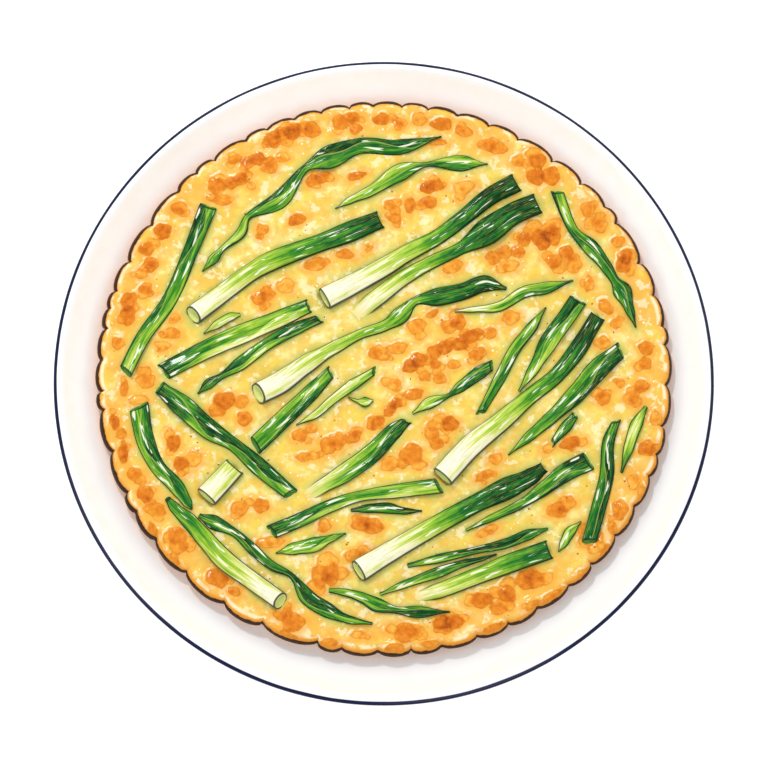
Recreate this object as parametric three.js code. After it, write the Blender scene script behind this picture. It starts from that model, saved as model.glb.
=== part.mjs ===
// Scallion pancake on a shallow plate, in millimetres, +Z up and +Y towards the back of the table.
// The origin is the middle of the plate's foot, on the surface that the plate stands on.

import * as THREE from "three";

// Plate: a coupe plate of glazed stoneware, 264 mm across.
const plateRadius = 132;
const plateHeight = 17;
const wellRadius = 110;
const wellHeight = 6;
const wallThickness = 3.4;
const wallCurve = 1.55;
const wallSteps = 6;
const lipRadius = 1.3;
const footRadius = 82;
const footWidth = 5;
const footDraft = 1;
const footHeight = 2.5;
const plateSides = 64;

// Pancake: batter fried in one piece, with a scalloped edge and a rolled lip.
const pancakeHalfX = 115.6;
const pancakeHalfY = 114.2;
const pancakeMiddleY = 2.2;
const pancakeThickness = 8.6;
const restGap = 0.35;
const lipRise = 0.9;
const cuspShare = 0.13;
const cuspStart = 0.6;
const lobeReach = 12;
const edgeSamples = 208;
const firstRingInset = 9;
const ringStep = 5.4;

// Widths of the lobes along the edge, clockwise from the one just left of the far side.
const firstCuspBearing = -13.3;
const lobeWidths = [
  12, 9.6, 12, 11, 12, 14, 13, 17, 15, 14, 7, 20, 14, 13.5, 7, 17, 17, 12, 8.5, 14, 14, 15, 12, 16, 13, 13,
  15, 12, 13, 15, 9, 24, 17, 20, 18, 13.5, 8, 18, 18, 7, 13, 13, 8.5, 7, 13.5, 18, 18, 10, 9, 16, 9.5, 12,
  11,
];

// Section of the edge: how far inside the outline, and how high above the pancake's underside.
const edgeSection = [
  { inset: 9, height: 0 },
  { inset: 3, height: 1.2 },
  { inset: 0, height: 4.2 },
  { inset: 1.4, height: 7 },
  { inset: 4.4, height: 8.9 },
];

// Blisters that the hot oil raises in the crust.
const blisterCount = 170;
const blisterRadius = [4.5, 8];
const blisterHeight = [0.5, 1.3];
const blisterSeed = 11;
const gridCell = 8;

// Scallions: flattened tubes (stems) and folded leaves, sunk a little into the batter.
const stemRoundness = 0.58;
const stemColumns = [-1, -0.72, 0, 0.72, 1];
const stemSideShare = 0.42;
const stemUnderside = 0.3;
const leafThickness = 2.1;
const leafEdge = 0.7;
const leafSlope = 0.6;
const leafWave = 0.35;
const leafWaveTurn = 1.7;
const stemBed = 2.1;
const leafBed = 0.9;
const bedMargin = 3.2;
const stationStep = 6.2;
const restPasses = 3;
const restShares = [0.2, 0.4, 0.6, 0.8];
const restColumnStep = 0.25;
const tubeWall = 1.1;
const tubeWallLimit = 1.6;
const tubeDepth = 1.6;

// Each row of a piece is x, y and width there, from the plate's middle. A stem starts at its cut white end.
const stems = [
  [[-76.3, 25.1, 8], [-53.8, 42.6, 7.4], [-45.6, 47.4, 8.2], [-26, 55.2, 7.4], [-14, 59.8, 8.6],
    [-1.2, 65.2, 7.6]],
  [[-23.8, 31.8, 9.2], [-2, 43.9, 8], [10, 51.4, 7.2], [22, 58, 6.4], [32, 65.8, 6.6], [43.1, 74.9, 7.4],
    [53.8, 80.7, 8]],
  [[-11.8, 25.1, 6.4], [-2, 33.1, 7.2], [8.4, 41.1, 6.4], [18.5, 47, 5.6], [30, 52.6, 5.2], [42, 60.1, 11],
    [52, 67.3, 9.2], [62.3, 71.8, 8.8]],
  [[-50, -7.1, 9], [-41.5, -2.6, 9.2], [-31.5, 4.7, 7.8], [-21.5, 11.1, 5.6], [-9.5, 17.5, 4.2],
    [0.5, 21.2, 4.6], [6.5, 25.2, 7], [12.5, 31.2, 3.6], [22.5, 33.1, 7.6], [32.5, 35.5, 7],
    [40.5, 38.5, 7], [49.2, 36.3, 1.6]],
  [[-70.2, -49.1, 9.4], [-59, -36.4, 8.8]],
  [[-40.6, -90.6, 7.2], [-52.7, -81.8, 7.4], [-63, -74, 8], [-70, -66.3, 7.2], [-76.5, -58.9, 6.4],
    [-82.6, -53.2, 4.4], [-85.6, -49.5, 2.4]],
  [[-10, -78.7, 9.2], [0.5, -72.1, 8.4], [12.5, -65, 7.8], [24.5, -58, 7.6], [36.5, -51.4, 7.4],
    [48.5, -45.5, 9], [57.5, -41, 7], [63.8, -36.5, 4.6]],
  [[23.3, -40.9, 9.4], [34.5, -28.5, 9.2], [46.5, -18.5, 8], [58.2, -8, 6.6], [68.6, 0.4, 6.4],
    [77.4, 11.2, 7.2], [82.7, 20, 6.4], [85.9, 25.2, 6.4]],
  [[11.4, -89.2, 4.2], [22.5, -86.1, 6.4], [36.5, -80.6, 6.8], [50.5, -75.2, 7.8], [65.5, -69.8, 7.8]],
];
const leaves = [
  [[-70.8, 70.6, 7.2], [-77.3, 53, 6.2], [-85.8, 32, 6.2], [-96.4, 16, 6], [-103, 2.2, 6]],
  [[23.3, 100, 0.8], [6.5, 95.6, 6.6], [-9.5, 96, 6.8], [-21.9, 91.1, 10], [-31.8, 86.4, 3.4],
    [-42, 73.5, 7.4], [-55, 66, 2.8], [-57.4, 59.7, 4.2], [-65, 52.7, 2.4], [-68.3, 48.7, 4.2],
    [-72.8, 43.5, 0.8]],
  [[42, 88.3, 0.8], [31, 88.8, 7], [17.5, 88.2, 2.2], [6.5, 84.7, 7.4], [-5.5, 77, 4.6], [-13, 73.5, 3.2],
    [-19.5, 69.8, 0.6]],
  [[70.1, 76.7, 5], [76.5, 60.5, 4], [83.4, 53.4, 6.6], [89.2, 45.9, 5], [92.7, 40.1, 3.8],
    [95.7, 35.5, 7.8], [98.3, 28.4, 4.2], [100.9, 20.3, 0.8]],
  [[28.5, 27, 1], [36.5, 27.7, 2.6], [46.5, 29, 4.2], [56.5, 35, 5], [64.5, 36.5, 5.2], [76, 39.7, 0.8]],
  [[-88, 2.1, 7.6], [-73.5, 10, 7.8], [-57.5, 17.1, 8.2], [-43.5, 23.2, 7.4], [-29.9, 29.3, 6]],
  [[-25.8, 23.8, 4], [-35.5, 19.6, 5.2], [-46.5, 13.5, 5.2], [-56.7, 5.9, 5.8], [-64.8, 0.3, 2.8],
    [-69.8, -2.8, 4.2], [-74.1, -6.9, 0.8]],
  [[-72, 17.7, 0.8], [-66, 21.9, 3.8], [-61.5, 24.6, 3.8], [-57.6, 25.6, 1.6]],
  [[-21.1, 2, 5], [-29.9, -7.1, 6.8], [-39.5, -16.9, 7.2], [-51, -28, 7.4]],
  [[-89.4, -4.3, 5.6], [-79.6, -12.5, 8.8], [-69.7, -21.2, 8.2], [-59.5, -27.7, 5.6], [-49.5, -36.5, 7.2],
    [-36.9, -47.5, 6]],
  [[-97.5, -12.2, 8], [-95, -25, 7.4], [-89.8, -36.5, 6.2], [-82.8, -43.8, 6.2], [-77.8, -51, 4.2],
    [-76, -53.8, 1]],
  [[-73, -56.2, 2], [-67.3, -58.9, 6], [-58.6, -63.4, 3.4], [-51.8, -69.7, 4.4], [-44, -76.5, 3.8],
    [-36.4, -80.4, 2.4], [-29.7, -89.2, 6.4], [-23.5, -93.3, 6.4], [-14.6, -97.6, 3.6], [-4.5, -99.5, 1.2]],
  [[-3.7, 2.4, 3.2], [-12.3, -3.3, 4.6], [-20.9, -9.9, 3.8], [-27, -15.3, 3.4], [-34.8, -19.7, 0.8]],
  [[-14, -8.4, 0.8], [-10.8, -9.8, 1.6], [-7.3, -10.3, 4.5], [-4.3, -9.6, 1]],
  [[9, -17.9, 4], [3.5, -22.6, 6.8], [-4.6, -31.1, 7.8], [-14.7, -38.7, 7.8], [-24.7, -44.7, 6],
    [-31.3, -48.7, 5]],
  [[-44.3, -62.8, 6], [-33.5, -58.3, 5.8], [-21.5, -52.6, 5.4], [-9.5, -48.5, 4.6], [6.5, -46.3, 6],
    [21.9, -44.4, 6.4]],
  [[-12.9, -54.2, 1.4], [-5.5, -53.4, 3.8], [1.5, -53.2, 4.6], [8, -54.4, 3], [15, -54.4, 0.8]],
  [[-42.5, -71.3, 0.8], [-35.5, -69.5, 5.2], [-27.5, -68, 6.2], [-21, -65.6, 3.2], [-15, -63.5, 0.8]],
  [[81.3, -34.3, 8], [72.5, -38.7, 7.6], [64.7, -44.5, 6], [54.5, -51.5, 4], [44.5, -56.4, 3.2],
    [32.5, -62.2, 1.2]],
  [[92.5, -18.1, 3.4], [89.2, -27, 5], [88.5, -39.5, 5.8], [85.5, -51.5, 6], [81.2, -66.7, 5.8]],
  [[104.5, -12.2, 1.8], [100.5, -19.5, 5], [97.6, -28, 4.4], [94.3, -39, 1.2]],
  [[94.7, 10.9, 6.6], [85.5, 3, 8.6], [77.3, -6.4, 7.6], [67.2, -16, 5.6], [58.9, -23.4, 4.4],
    [49.5, -31.8, 0.8]],
  [[76.2, -15.6, 3.2], [72.6, -20.2, 4.6], [67, -26.9, 2.6]],
  [[54, -5.8, 1.2], [60.2, 3.8, 4.8], [66.2, 14.6, 7.4], [72.8, 23.9, 7.2], [78, 31.8, 7.4]],
  [[65, 28.5, 0.8], [58.7, 19.5, 4.6], [52.4, 11.3, 4.8], [46.8, 0.5, 4.8], [38.6, -14.7, 3.2]],
  [[43.2, 4.6, 4.2], [38.1, 1.6, 5.6], [31, -3.7, 4.6], [26, -7.5, 1.8], [18.5, -10.5, 5],
    [11.5, -15, 1.2]],
  [[9.5, -76.3, 2], [22.5, -73.4, 3.8], [36.5, -70.3, 3], [48.5, -67.5, 4.2], [56.5, -64.2, 4.6],
    [64.8, -61.6, 1.2]],
  [[-1.4, -87.8, 1.4], [9.2, -83.5, 3.4], [21.3, -79.2, 4.6], [31, -75.6, 3.2], [38, -73.8, 2],
    [44.5, -71.9, 0.8]],
  [[-21.5, -86.2, 2], [-13.5, -87.4, 3.4], [-8, -89.3, 4.4], [-3, -91.8, 6], [5, -94.1, 3],
    [13.5, -94.8, 5], [26, -94.8, 0.8]],
  [[78, -58.7, 0.8], [73.5, -63, 4.4], [71.2, -67.2, 3.6], [69, -70.7, 0.8]],
];
const openEnds = [0, 1, 3, 4, 5, 6, 7];

// Materials.
const glaze = new THREE.MeshStandardMaterial({ color: "#fbf5ec", roughness: 0.2, metalness: 0 });
const batter = new THREE.MeshStandardMaterial({ color: "#f6c765", roughness: 0.55, metalness: 0 });
const paleStem = new THREE.MeshStandardMaterial({ color: "#c5d77a", roughness: 0.4, metalness: 0 });
const greenLeaf = new THREE.MeshStandardMaterial({ color: "#3f8f3c", roughness: 0.4, metalness: 0 });

// A repeatable random number from 0 to 1.
function seededRandom(seed) {
  let state = seed;
  return () => {
    state = (state * 16807) % 2147483647;
    return state / 2147483647;
  };
}

function smoothstep(value) {
  const t = Math.min(1, Math.max(0, value));
  return t * t * (3 - 2 * t);
}

function mix(a, b, t) {
  return a + (b - a) * t;
}

function meshFrom(name, points, triangles, material) {
  const geometry = new THREE.BufferGeometry();
  geometry.setAttribute("position", new THREE.Float32BufferAttribute(points.flat(), 3));
  geometry.setIndex(triangles.flat());
  geometry.computeVertexNormals();
  const mesh = new THREE.Mesh(geometry, material);
  mesh.name = name;
  return mesh;
}

// Plate: one profile turned about the upright axis.
const wallEnd = plateRadius - lipRadius;

function wallTop(radius) {
  const climb = Math.max(0, (radius - wellRadius) / (wallEnd - wellRadius));
  return wellHeight + (plateHeight - wellHeight) * climb ** wallCurve;
}

function makePlate() {
  const inner = [new THREE.Vector2(0, wellHeight)];
  const outer = [];
  for (let step = 0; step <= wallSteps; step += 1) {
    const radius = mix(wellRadius, wallEnd, step / wallSteps);
    inner.push(new THREE.Vector2(radius, wallTop(radius)));
    outer.push(new THREE.Vector2(radius, Math.max(footHeight, wallTop(radius) - wallThickness)));
  }
  const lip = new THREE.Vector2(plateRadius, plateHeight - lipRadius);
  const foot = [
    new THREE.Vector2(footRadius + footDraft, footHeight),
    new THREE.Vector2(footRadius, 0),
    new THREE.Vector2(footRadius - footWidth, 0),
    new THREE.Vector2(footRadius - footWidth - footDraft, footHeight),
    new THREE.Vector2(0, footHeight),
  ];
  const profile = [...inner, lip, ...outer.reverse(), ...foot];
  const geometry = new THREE.LatheGeometry(profile.reverse(), plateSides);
  geometry.rotateX(Math.PI / 2);
  const plate = new THREE.Mesh(geometry, glaze);
  plate.name = "plate";
  return plate;
}

// Pancake outline: an oval with a round lobe between each pair of cusps.
const lobeTotal = lobeWidths.reduce((sum, width) => sum + width, 0);

function lobeDrop(bearing) {
  const firstCusp = THREE.MathUtils.degToRad(firstCuspBearing);
  const turn = THREE.MathUtils.euclideanModulo(bearing - firstCusp, 2 * Math.PI);
  let along = (turn / (2 * Math.PI)) * lobeTotal;
  let index = 0;
  while (along > lobeWidths[index] && index < lobeWidths.length - 1) {
    along -= lobeWidths[index];
    index += 1;
  }
  const width = lobeWidths[index];
  const across = (2 * along) / width - 1;
  const arch = Math.sqrt(Math.max(0, 1 - across * across));
  return (cuspStart + cuspShare * width) * (1 - arch);
}

function ovalRadius(bearing) {
  return 1 / Math.hypot(Math.sin(bearing) / pancakeHalfX, Math.cos(bearing) / pancakeHalfY);
}

function edgePoint(bearing, inset) {
  const fade = Math.max(0, 1 - inset / lobeReach);
  const radius = ovalRadius(bearing) - inset - lobeDrop(bearing) * fade;
  return [radius * Math.sin(bearing), pancakeMiddleY + radius * Math.cos(bearing)];
}

// Scallion routes: stations along each piece, with its direction and half width.
function stationsOf(rows) {
  const places = rows.map(([x, y]) => new THREE.Vector3(x, y, 0));
  const spine = new THREE.CatmullRomCurve3(places, false, "centripetal");
  const stations = [];
  for (let index = 0; index < rows.length - 1; index += 1) {
    const [x0, y0, width0] = rows[index];
    const [x1, y1, width1] = rows[index + 1];
    const parts = Math.max(1, Math.round(Math.hypot(x1 - x0, y1 - y0) / stationStep));
    const last = index === rows.length - 2;
    for (let part = 0; part < parts + (last ? 1 : 0); part += 1) {
      const share = part / parts;
      const t = (index + share) / (rows.length - 1);
      const middle = spine.getPoint(t);
      const tangent = spine.getTangent(t);
      stations.push({
        x: middle.x,
        y: middle.y,
        sideX: tangent.y,
        sideY: -tangent.x,
        forwardX: tangent.x,
        forwardY: tangent.y,
        half: mix(width0, width1, smoothstep(share)) / 2,
      });
    }
  }
  return stations;
}

const stemRoutes = stems.map(stationsOf);
const leafRoutes = leaves.map(stationsOf);

// How far the batter dips at a point, under the scallions that lie near it.
function bedDepth(x, y) {
  let depth = 0;
  for (const [routes, full] of [[stemRoutes, stemBed], [leafRoutes, leafBed]]) {
    for (const route of routes) {
      for (let index = 0; index < route.length - 1; index += 1) {
        const from = route[index];
        const to = route[index + 1];
        const runX = to.x - from.x;
        const runY = to.y - from.y;
        const along = ((x - from.x) * runX + (y - from.y) * runY) / (runX * runX + runY * runY);
        const share = Math.min(1, Math.max(0, along));
        const away = Math.hypot(x - from.x - share * runX, y - from.y - share * runY);
        const reach = 1 - (away - mix(from.half, to.half, share)) / bedMargin;
        depth = Math.max(depth, full * smoothstep(reach));
      }
    }
  }
  return depth;
}

const blisters = [];
const draw = seededRandom(blisterSeed);
while (blisters.length < blisterCount) {
  const bearing = draw() * 2 * Math.PI;
  const reach = Math.sqrt(draw()) * (pancakeHalfY - firstRingInset);
  blisters.push({
    x: reach * Math.sin(bearing),
    y: pancakeMiddleY + reach * Math.cos(bearing),
    radius: mix(...blisterRadius, draw()),
    height: mix(...blisterHeight, draw()),
  });
}

function crustHeight(x, y) {
  let bump = 0;
  for (const blister of blisters) {
    const away = Math.hypot(x - blister.x, y - blister.y) / blister.radius;
    bump = Math.max(bump, blister.height * smoothstep(1 - away));
  }
  const depth = bedDepth(x, y);
  return pancakeThickness + bump * Math.max(0, 1 - depth / leafBed) - depth;
}

// Joins two rings of the same bearing range whose sample counts are equal or differ by a factor of 2 or 4.
function bridge(outer, inner, triangles) {
  const ratio = outer.length / inner.length;
  for (let index = 0; index < inner.length; index += 1) {
    const next = (index + 1) % inner.length;
    const half = Math.ceil(ratio / 2);
    for (let part = 0; part < ratio; part += 1) {
      const from = index * ratio + part;
      const tip = part < half ? inner[index] : inner[next];
      triangles.push([outer[from], tip, outer[(from + 1) % outer.length]]);
    }
    triangles.push([outer[(index * ratio + half) % outer.length], inner[index], inner[next]]);
  }
}

function makePancake() {
  const points = [];
  const triangles = [];
  const addRing = (count, place) => {
    const ring = [];
    for (let index = 0; index < count; index += 1) {
      ring.push(points.length);
      points.push(place((2 * Math.PI * index) / count));
    }
    return ring;
  };
  const rings = edgeSection.map(({ inset, height }) => addRing(edgeSamples, (bearing) => {
    const [x, y] = edgePoint(bearing, inset);
    return [x, y, height];
  }));
  const radius = Math.min(pancakeHalfX, pancakeHalfY);
  const innerSteps = Math.floor((radius - firstRingInset) / ringStep);
  for (let step = 0; step < innerSteps; step += 1) {
    const inset = firstRingInset + step * ringStep;
    const left = radius - inset;
    const halvings = 1 + Math.min(2, Math.floor(Math.log2(radius / left)));
    const count = edgeSamples / 2 ** halvings;
    const lip = step === 0 ? lipRise : 0;
    rings.push(addRing(count, (bearing) => {
      const [x, y] = edgePoint(bearing, inset);
      return [x, y, crustHeight(x, y) - lip];
    }));
  }
  for (let index = 0; index < rings.length - 1; index += 1) {
    bridge(rings[index], rings[index + 1], triangles);
  }
  const topStart = triangles.length;
  const closeOver = (ring, height, up) => {
    const middle = points.length;
    points.push([0, pancakeMiddleY, height]);
    ring.forEach((point, index) => {
      const next = ring[(index + 1) % ring.length];
      triangles.push(up ? [point, middle, next] : [next, middle, point]);
    });
  };
  closeOver(rings[rings.length - 1], crustHeight(0, pancakeMiddleY), true);
  const floorRing = addRing(edgeSamples / 4, (bearing) => [...edgePoint(bearing, radius / 2), 0]);
  const floor = [];
  bridge(rings[0], floorRing, floor);
  triangles.push(...floor.map(([a, b, c]) => [a, c, b]));
  closeOver(floorRing, 0, false);
  const shoulder = 2 * edgeSamples * (edgeSection.length - 2);
  const top = triangles.slice(shoulder, topStart + edgeSamples / 8);
  return { mesh: meshFrom("pancake", points, triangles, batter), points, top };
}

// Height of the pancake's faceted top at a point, found through a grid of the triangles over it.
function surfaceFinder(points, triangles) {
  const cell = gridCell;
  const grid = new Map();
  for (const triangle of triangles) {
    const xs = triangle.map((index) => points[index][0]);
    const ys = triangle.map((index) => points[index][1]);
    for (let i = Math.floor(Math.min(...xs) / cell); i <= Math.floor(Math.max(...xs) / cell); i += 1) {
      for (let j = Math.floor(Math.min(...ys) / cell); j <= Math.floor(Math.max(...ys) / cell); j += 1) {
        const key = `${i},${j}`;
        grid.set(key, [...(grid.get(key) ?? []), triangle]);
      }
    }
  }
  return (x, y) => {
    let height = 0;
    for (const triangle of grid.get(`${Math.floor(x / cell)},${Math.floor(y / cell)}`) ?? []) {
      const [a, b, c] = triangle.map((index) => points[index]);
      const area = (b[0] - a[0]) * (c[1] - a[1]) - (c[0] - a[0]) * (b[1] - a[1]);
      const shareB = ((x - a[0]) * (c[1] - a[1]) - (c[0] - a[0]) * (y - a[1])) / area;
      const shareC = ((b[0] - a[0]) * (y - a[1]) - (x - a[0]) * (b[1] - a[1])) / area;
      if (shareB >= -1e-6 && shareC >= -1e-6 && shareB + shareC <= 1 + 1e-6) {
        height = Math.max(height, a[2] + shareB * (b[2] - a[2]) + shareC * (c[2] - a[2]));
      }
    }
    return height;
  };
}

// Cross-sections, as rows of { across, top, bottom }: across runs from -1 to 1 over the width.
function stemSection(half) {
  const rise = 2 * half * stemRoundness;
  return stemColumns.map((across) => {
    const arch = Math.sqrt(1 - across * across);
    return { across, top: rise * mix(stemSideShare, 1, arch), bottom: rise * stemUnderside * (1 - arch) };
  });
}

function leafSection(half, station) {
  const full = Math.min(leafThickness, leafEdge + half * leafSlope);
  const wave = leafWave * Math.sin(station * leafWaveTurn);
  return [
    { across: -1, top: leafEdge + Math.max(0, wave), bottom: Math.max(0, wave) },
    { across: 0, top: full, bottom: 0 },
    { across: 1, top: leafEdge + Math.max(0, -wave), bottom: Math.max(0, -wave) },
  ];
}

// How far the batter at a share of the way between two stations reaches above a floor between them.
function lackAt(from, to, share, floor, surface) {
  let lack = 0;
  for (let across = -1; across <= 1; across += restColumnStep) {
    const x = mix(from.x + across * from.half * from.sideX, to.x + across * to.half * to.sideX, share);
    const y = mix(from.y + across * from.half * from.sideY, to.y + across * to.half * to.sideY, share);
    lack = Math.max(lack, surface(x, y) + restGap - floor);
  }
  return lack;
}

// Lowest height at which each station, and the strip between them, clears the batter.
function restHeights(route, surface) {
  const heights = route.map((station) => lackAt(station, station, 0, 0, surface));
  for (let pass = 0; pass < restPasses; pass += 1) {
    for (let index = 0; index < route.length - 1; index += 1) {
      for (const share of restShares) {
        const floor = mix(heights[index], heights[index + 1], share);
        const lack = lackAt(route[index], route[index + 1], share, floor, surface);
        const weight = (1 - share) ** 2 + share ** 2;
        heights[index] += (lack * (1 - share)) / weight;
        heights[index + 1] += (lack * share) / weight;
      }
    }
  }
  return heights;
}

// A strip along a route: matching grids of points above and below, closed at the edges and the ends.
function makeStrip(name, route, sectionAt, surface, open, material) {
  const sections = route.map((station, index) => sectionAt(station.half, index));
  const heights = restHeights(route, surface);
  const columns = sections[0].length;
  const points = [];
  const triangles = [];
  const upper = [];
  const lower = [];
  route.forEach((station, index) => {
    const place = ({ across }, height) => {
      const x = station.x + across * station.half * station.sideX;
      const y = station.y + across * station.half * station.sideY;
      points.push([x, y, heights[index] + height]);
      return points.length - 1;
    };
    upper.push(sections[index].map((row) => place(row, row.top)));
    lower.push(sections[index].map((row) => place(row, row.bottom)));
  });
  for (let index = 0; index < route.length - 1; index += 1) {
    for (let column = 0; column < columns - 1; column += 1) {
      const [a, b] = [upper[index][column], upper[index][column + 1]];
      const [c, d] = [upper[index + 1][column], upper[index + 1][column + 1]];
      triangles.push([a, b, c], [b, d, c]);
      const [e, f] = [lower[index][column], lower[index][column + 1]];
      const [g, h] = [lower[index + 1][column], lower[index + 1][column + 1]];
      triangles.push([e, g, f], [f, g, h]);
    }
    const edges = [[0, false], [columns - 1, true]];
    for (const [column, flip] of edges) {
      const near = [upper[index][column], lower[index][column]];
      const quad = [...near, lower[index + 1][column], upper[index + 1][column]];
      if (flip) {
        quad.reverse();
      }
      triangles.push([quad[0], quad[2], quad[1]], [quad[0], quad[3], quad[2]]);
    }
  }
  closeEnd(upper[0], lower[0], false, points, triangles, open ? route[0] : null);
  closeEnd(upper[route.length - 1], lower[route.length - 1], true, points, triangles, null);
  return meshFrom(name, points, triangles, material);
}

// Caps an end of a strip, flat or, on a cut tube, as a wall round a shallow hollow.
function closeEnd(upper, lower, far, points, triangles, tube) {
  const push = (a, b, c) => triangles.push(far ? [a, c, b] : [a, b, c]);
  let top = upper;
  let bottom = lower;
  if (tube) {
    const rim = [...upper, ...[...lower].reverse()];
    const meanOf = (axis) => rim.reduce((sum, index) => sum + points[index][axis], 0) / rim.length;
    const middle = [0, 1, 2].map(meanOf);
    const inward = (index, depth) => {
      const from = points[index];
      const reach = Math.hypot(...from.map((value, axis) => value - middle[axis]));
      const shrink = 1 - tubeWall / Math.max(tubeWall * tubeWallLimit, reach);
      const moved = from.map((value, axis) => mix(middle[axis], value, shrink));
      points.push([moved[0] + depth * tube.forwardX, moved[1] + depth * tube.forwardY, moved[2]]);
      return points.length - 1;
    };
    const mouth = rim.map((index) => inward(index, 0));
    const floor = rim.map((index) => inward(index, tubeDepth));
    rim.forEach((point, index) => {
      const next = (index + 1) % rim.length;
      triangles.push([point, mouth[index], rim[next]], [rim[next], mouth[index], mouth[next]]);
      triangles.push([mouth[index], floor[index], mouth[next]], [mouth[next], floor[index], floor[next]]);
    });
    top = floor.slice(0, upper.length);
    bottom = floor.slice(upper.length).reverse();
  }
  for (let column = 0; column < top.length - 1; column += 1) {
    push(top[column], bottom[column], top[column + 1]);
    push(top[column + 1], bottom[column], bottom[column + 1]);
  }
}

const pancake = makePancake();
const surface = surfaceFinder(pancake.points, pancake.top);
const food = new THREE.Group();
food.position.set(0, 0, wellHeight + restGap);
food.add(pancake.mesh);
const numbered = (kind, index) => `${kind}_${String(index + 1).padStart(2, "0")}`;
stemRoutes.forEach((route, index) => {
  const open = openEnds.includes(index);
  food.add(makeStrip(numbered("stem", index), route, stemSection, surface, open, paleStem));
});
leafRoutes.forEach((route, index) => {
  food.add(makeStrip(numbered("leaf", index), route, leafSection, surface, false, greenLeaf));
});

const object = new THREE.Group();
object.add(makePlate(), food);

export default object;
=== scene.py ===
# %% [markdown]
# # A scallion pancake on its plate
# The dish is batter fried in a shallow pan with scallions pressed into it, turned out on a coupe plate.
# The solids come first as a fixed frame. Every shape below is worked out in millimetres in that frame, and
# becomes metres only when its mesh is made.

# %% Load the frame
import math
import random

import bpy
import numpy as np
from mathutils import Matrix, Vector, noise


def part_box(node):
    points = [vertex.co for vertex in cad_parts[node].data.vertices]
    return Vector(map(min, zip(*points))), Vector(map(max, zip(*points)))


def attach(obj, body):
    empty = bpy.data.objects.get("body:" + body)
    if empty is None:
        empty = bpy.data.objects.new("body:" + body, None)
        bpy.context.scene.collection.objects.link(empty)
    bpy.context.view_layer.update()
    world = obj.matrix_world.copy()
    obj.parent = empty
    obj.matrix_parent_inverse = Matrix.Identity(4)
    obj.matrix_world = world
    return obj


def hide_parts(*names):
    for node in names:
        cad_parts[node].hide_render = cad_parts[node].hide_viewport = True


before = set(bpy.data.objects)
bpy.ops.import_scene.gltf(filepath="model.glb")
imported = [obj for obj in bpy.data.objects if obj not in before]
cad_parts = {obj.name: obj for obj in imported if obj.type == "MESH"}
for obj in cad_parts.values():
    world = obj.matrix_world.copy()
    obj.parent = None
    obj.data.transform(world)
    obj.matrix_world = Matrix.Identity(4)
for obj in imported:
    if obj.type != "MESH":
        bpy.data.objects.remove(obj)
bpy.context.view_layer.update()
scene = bpy.context.scene
MM = 0.001
pancake_low, pancake_high = (Vector(corner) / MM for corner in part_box("pancake"))
plate_low, plate_high = (Vector(corner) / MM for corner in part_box("plate"))
print("pancake from", tuple(round(v, 1) for v in pancake_low), "to", tuple(round(v, 1) for v in pancake_high))
print("plate is", round(plate_high.x - plate_low.x, 1), "mm across and", round(plate_high.z, 1), "mm high")

# %% [markdown]
# ## The camera
# The picture looks almost straight down: a round plate shows as an oval whose height is 0.975 of its width,
# which a view from 77 degrees above the table gives. A long lens keeps the far side as wide as the near one.

# %% Camera
view_height = math.radians(77.2)
camera_distance = 1400.0
frame_width = 306.8
sensor_width = 36.0
aim = Vector((0.1, -2.5, 14.0))

camera_data = bpy.data.cameras.new("camera")
camera_data.sensor_width = sensor_width
camera_data.lens = sensor_width * camera_distance / frame_width
camera = bpy.data.objects.new("camera", camera_data)
scene.collection.objects.link(camera)
camera.location = (aim + camera_distance * Vector((0, -math.cos(view_height), math.sin(view_height)))) * MM
camera.rotation_euler = (math.pi / 2 - view_height, 0, 0)
scene.camera = camera
print("lens", round(camera_data.lens, 1), "mm")

# %% [markdown]
# ## Helpers
# Colours are written as they look on a screen, in sRGB, and Blender mixes light in linear values, so one
# function turns one into the other. A second adds a node with its settings and its links, for shaders and
# for Geometry Nodes alike. A sum takes many nodes, so it is written as rows with a name each, and a loop
# adds the nodes.

# %% Colour and node helpers
def linear(hex_colour):
    channels = [int(hex_colour[i : i + 2], 16) / 255 for i in (1, 3, 5)]
    return [c / 12.92 if c <= 0.04045 else ((c + 0.055) / 1.055) ** 2.4 for c in channels] + [1.0]


def add_node(tree, kind, inputs=(), output=0, **settings):
    """Adds a node with its settings and links. Inputs are a row, from the first socket on, or have names."""
    made = tree.nodes.new(kind)
    for name, value in settings.items():
        setattr(made, name, value)
    for key, value in inputs.items() if isinstance(inputs, dict) else enumerate(inputs):
        if isinstance(value, bpy.types.NodeSocket):
            tree.links.new(value, made.inputs[key])
        else:
            made.inputs[key].default_value = value
    return made.outputs[output] if made.outputs else made


def work_out(tree, values, steps):
    """Works out a sum. A step is its result's name, what is done, and the names or numbers it is done to.
    SMOOTH rises from 0 to 1 as a value goes from the first limit to the second, and MULTIPLY takes a row."""
    for name, operation, *operands in steps:
        inputs = [values[operand] if isinstance(operand, str) else operand for operand in operands]
        while operation == "MULTIPLY" and len(inputs) > 2:
            inputs[:2] = [add_node(tree, "ShaderNodeMath", inputs[:2], operation=operation)]
        if operation == "SMOOTH":
            values[name] = add_node(tree, "ShaderNodeMapRange", inputs, interpolation_type="SMOOTHSTEP")
        else:
            values[name] = add_node(tree, "ShaderNodeMath", inputs, operation=operation)
    return values[name]


def new_material(name, inputs):
    material = bpy.data.materials.new(name)
    material.use_nodes = True
    shader = material.node_tree.nodes["Principled BSDF"]
    for key, value in inputs.items():
        shader.inputs[key].default_value = value
    return material, material.node_tree, shader


print("white is", [round(v, 3) for v in linear("#FFFFFF")])


# %% Mesh helpers
def mesh_object(name, points, faces):
    mesh = bpy.data.meshes.new(name)
    mesh.from_pydata((np.asarray(points) * MM).tolist(), [], faces)
    return smooth_object(name, mesh)


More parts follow.
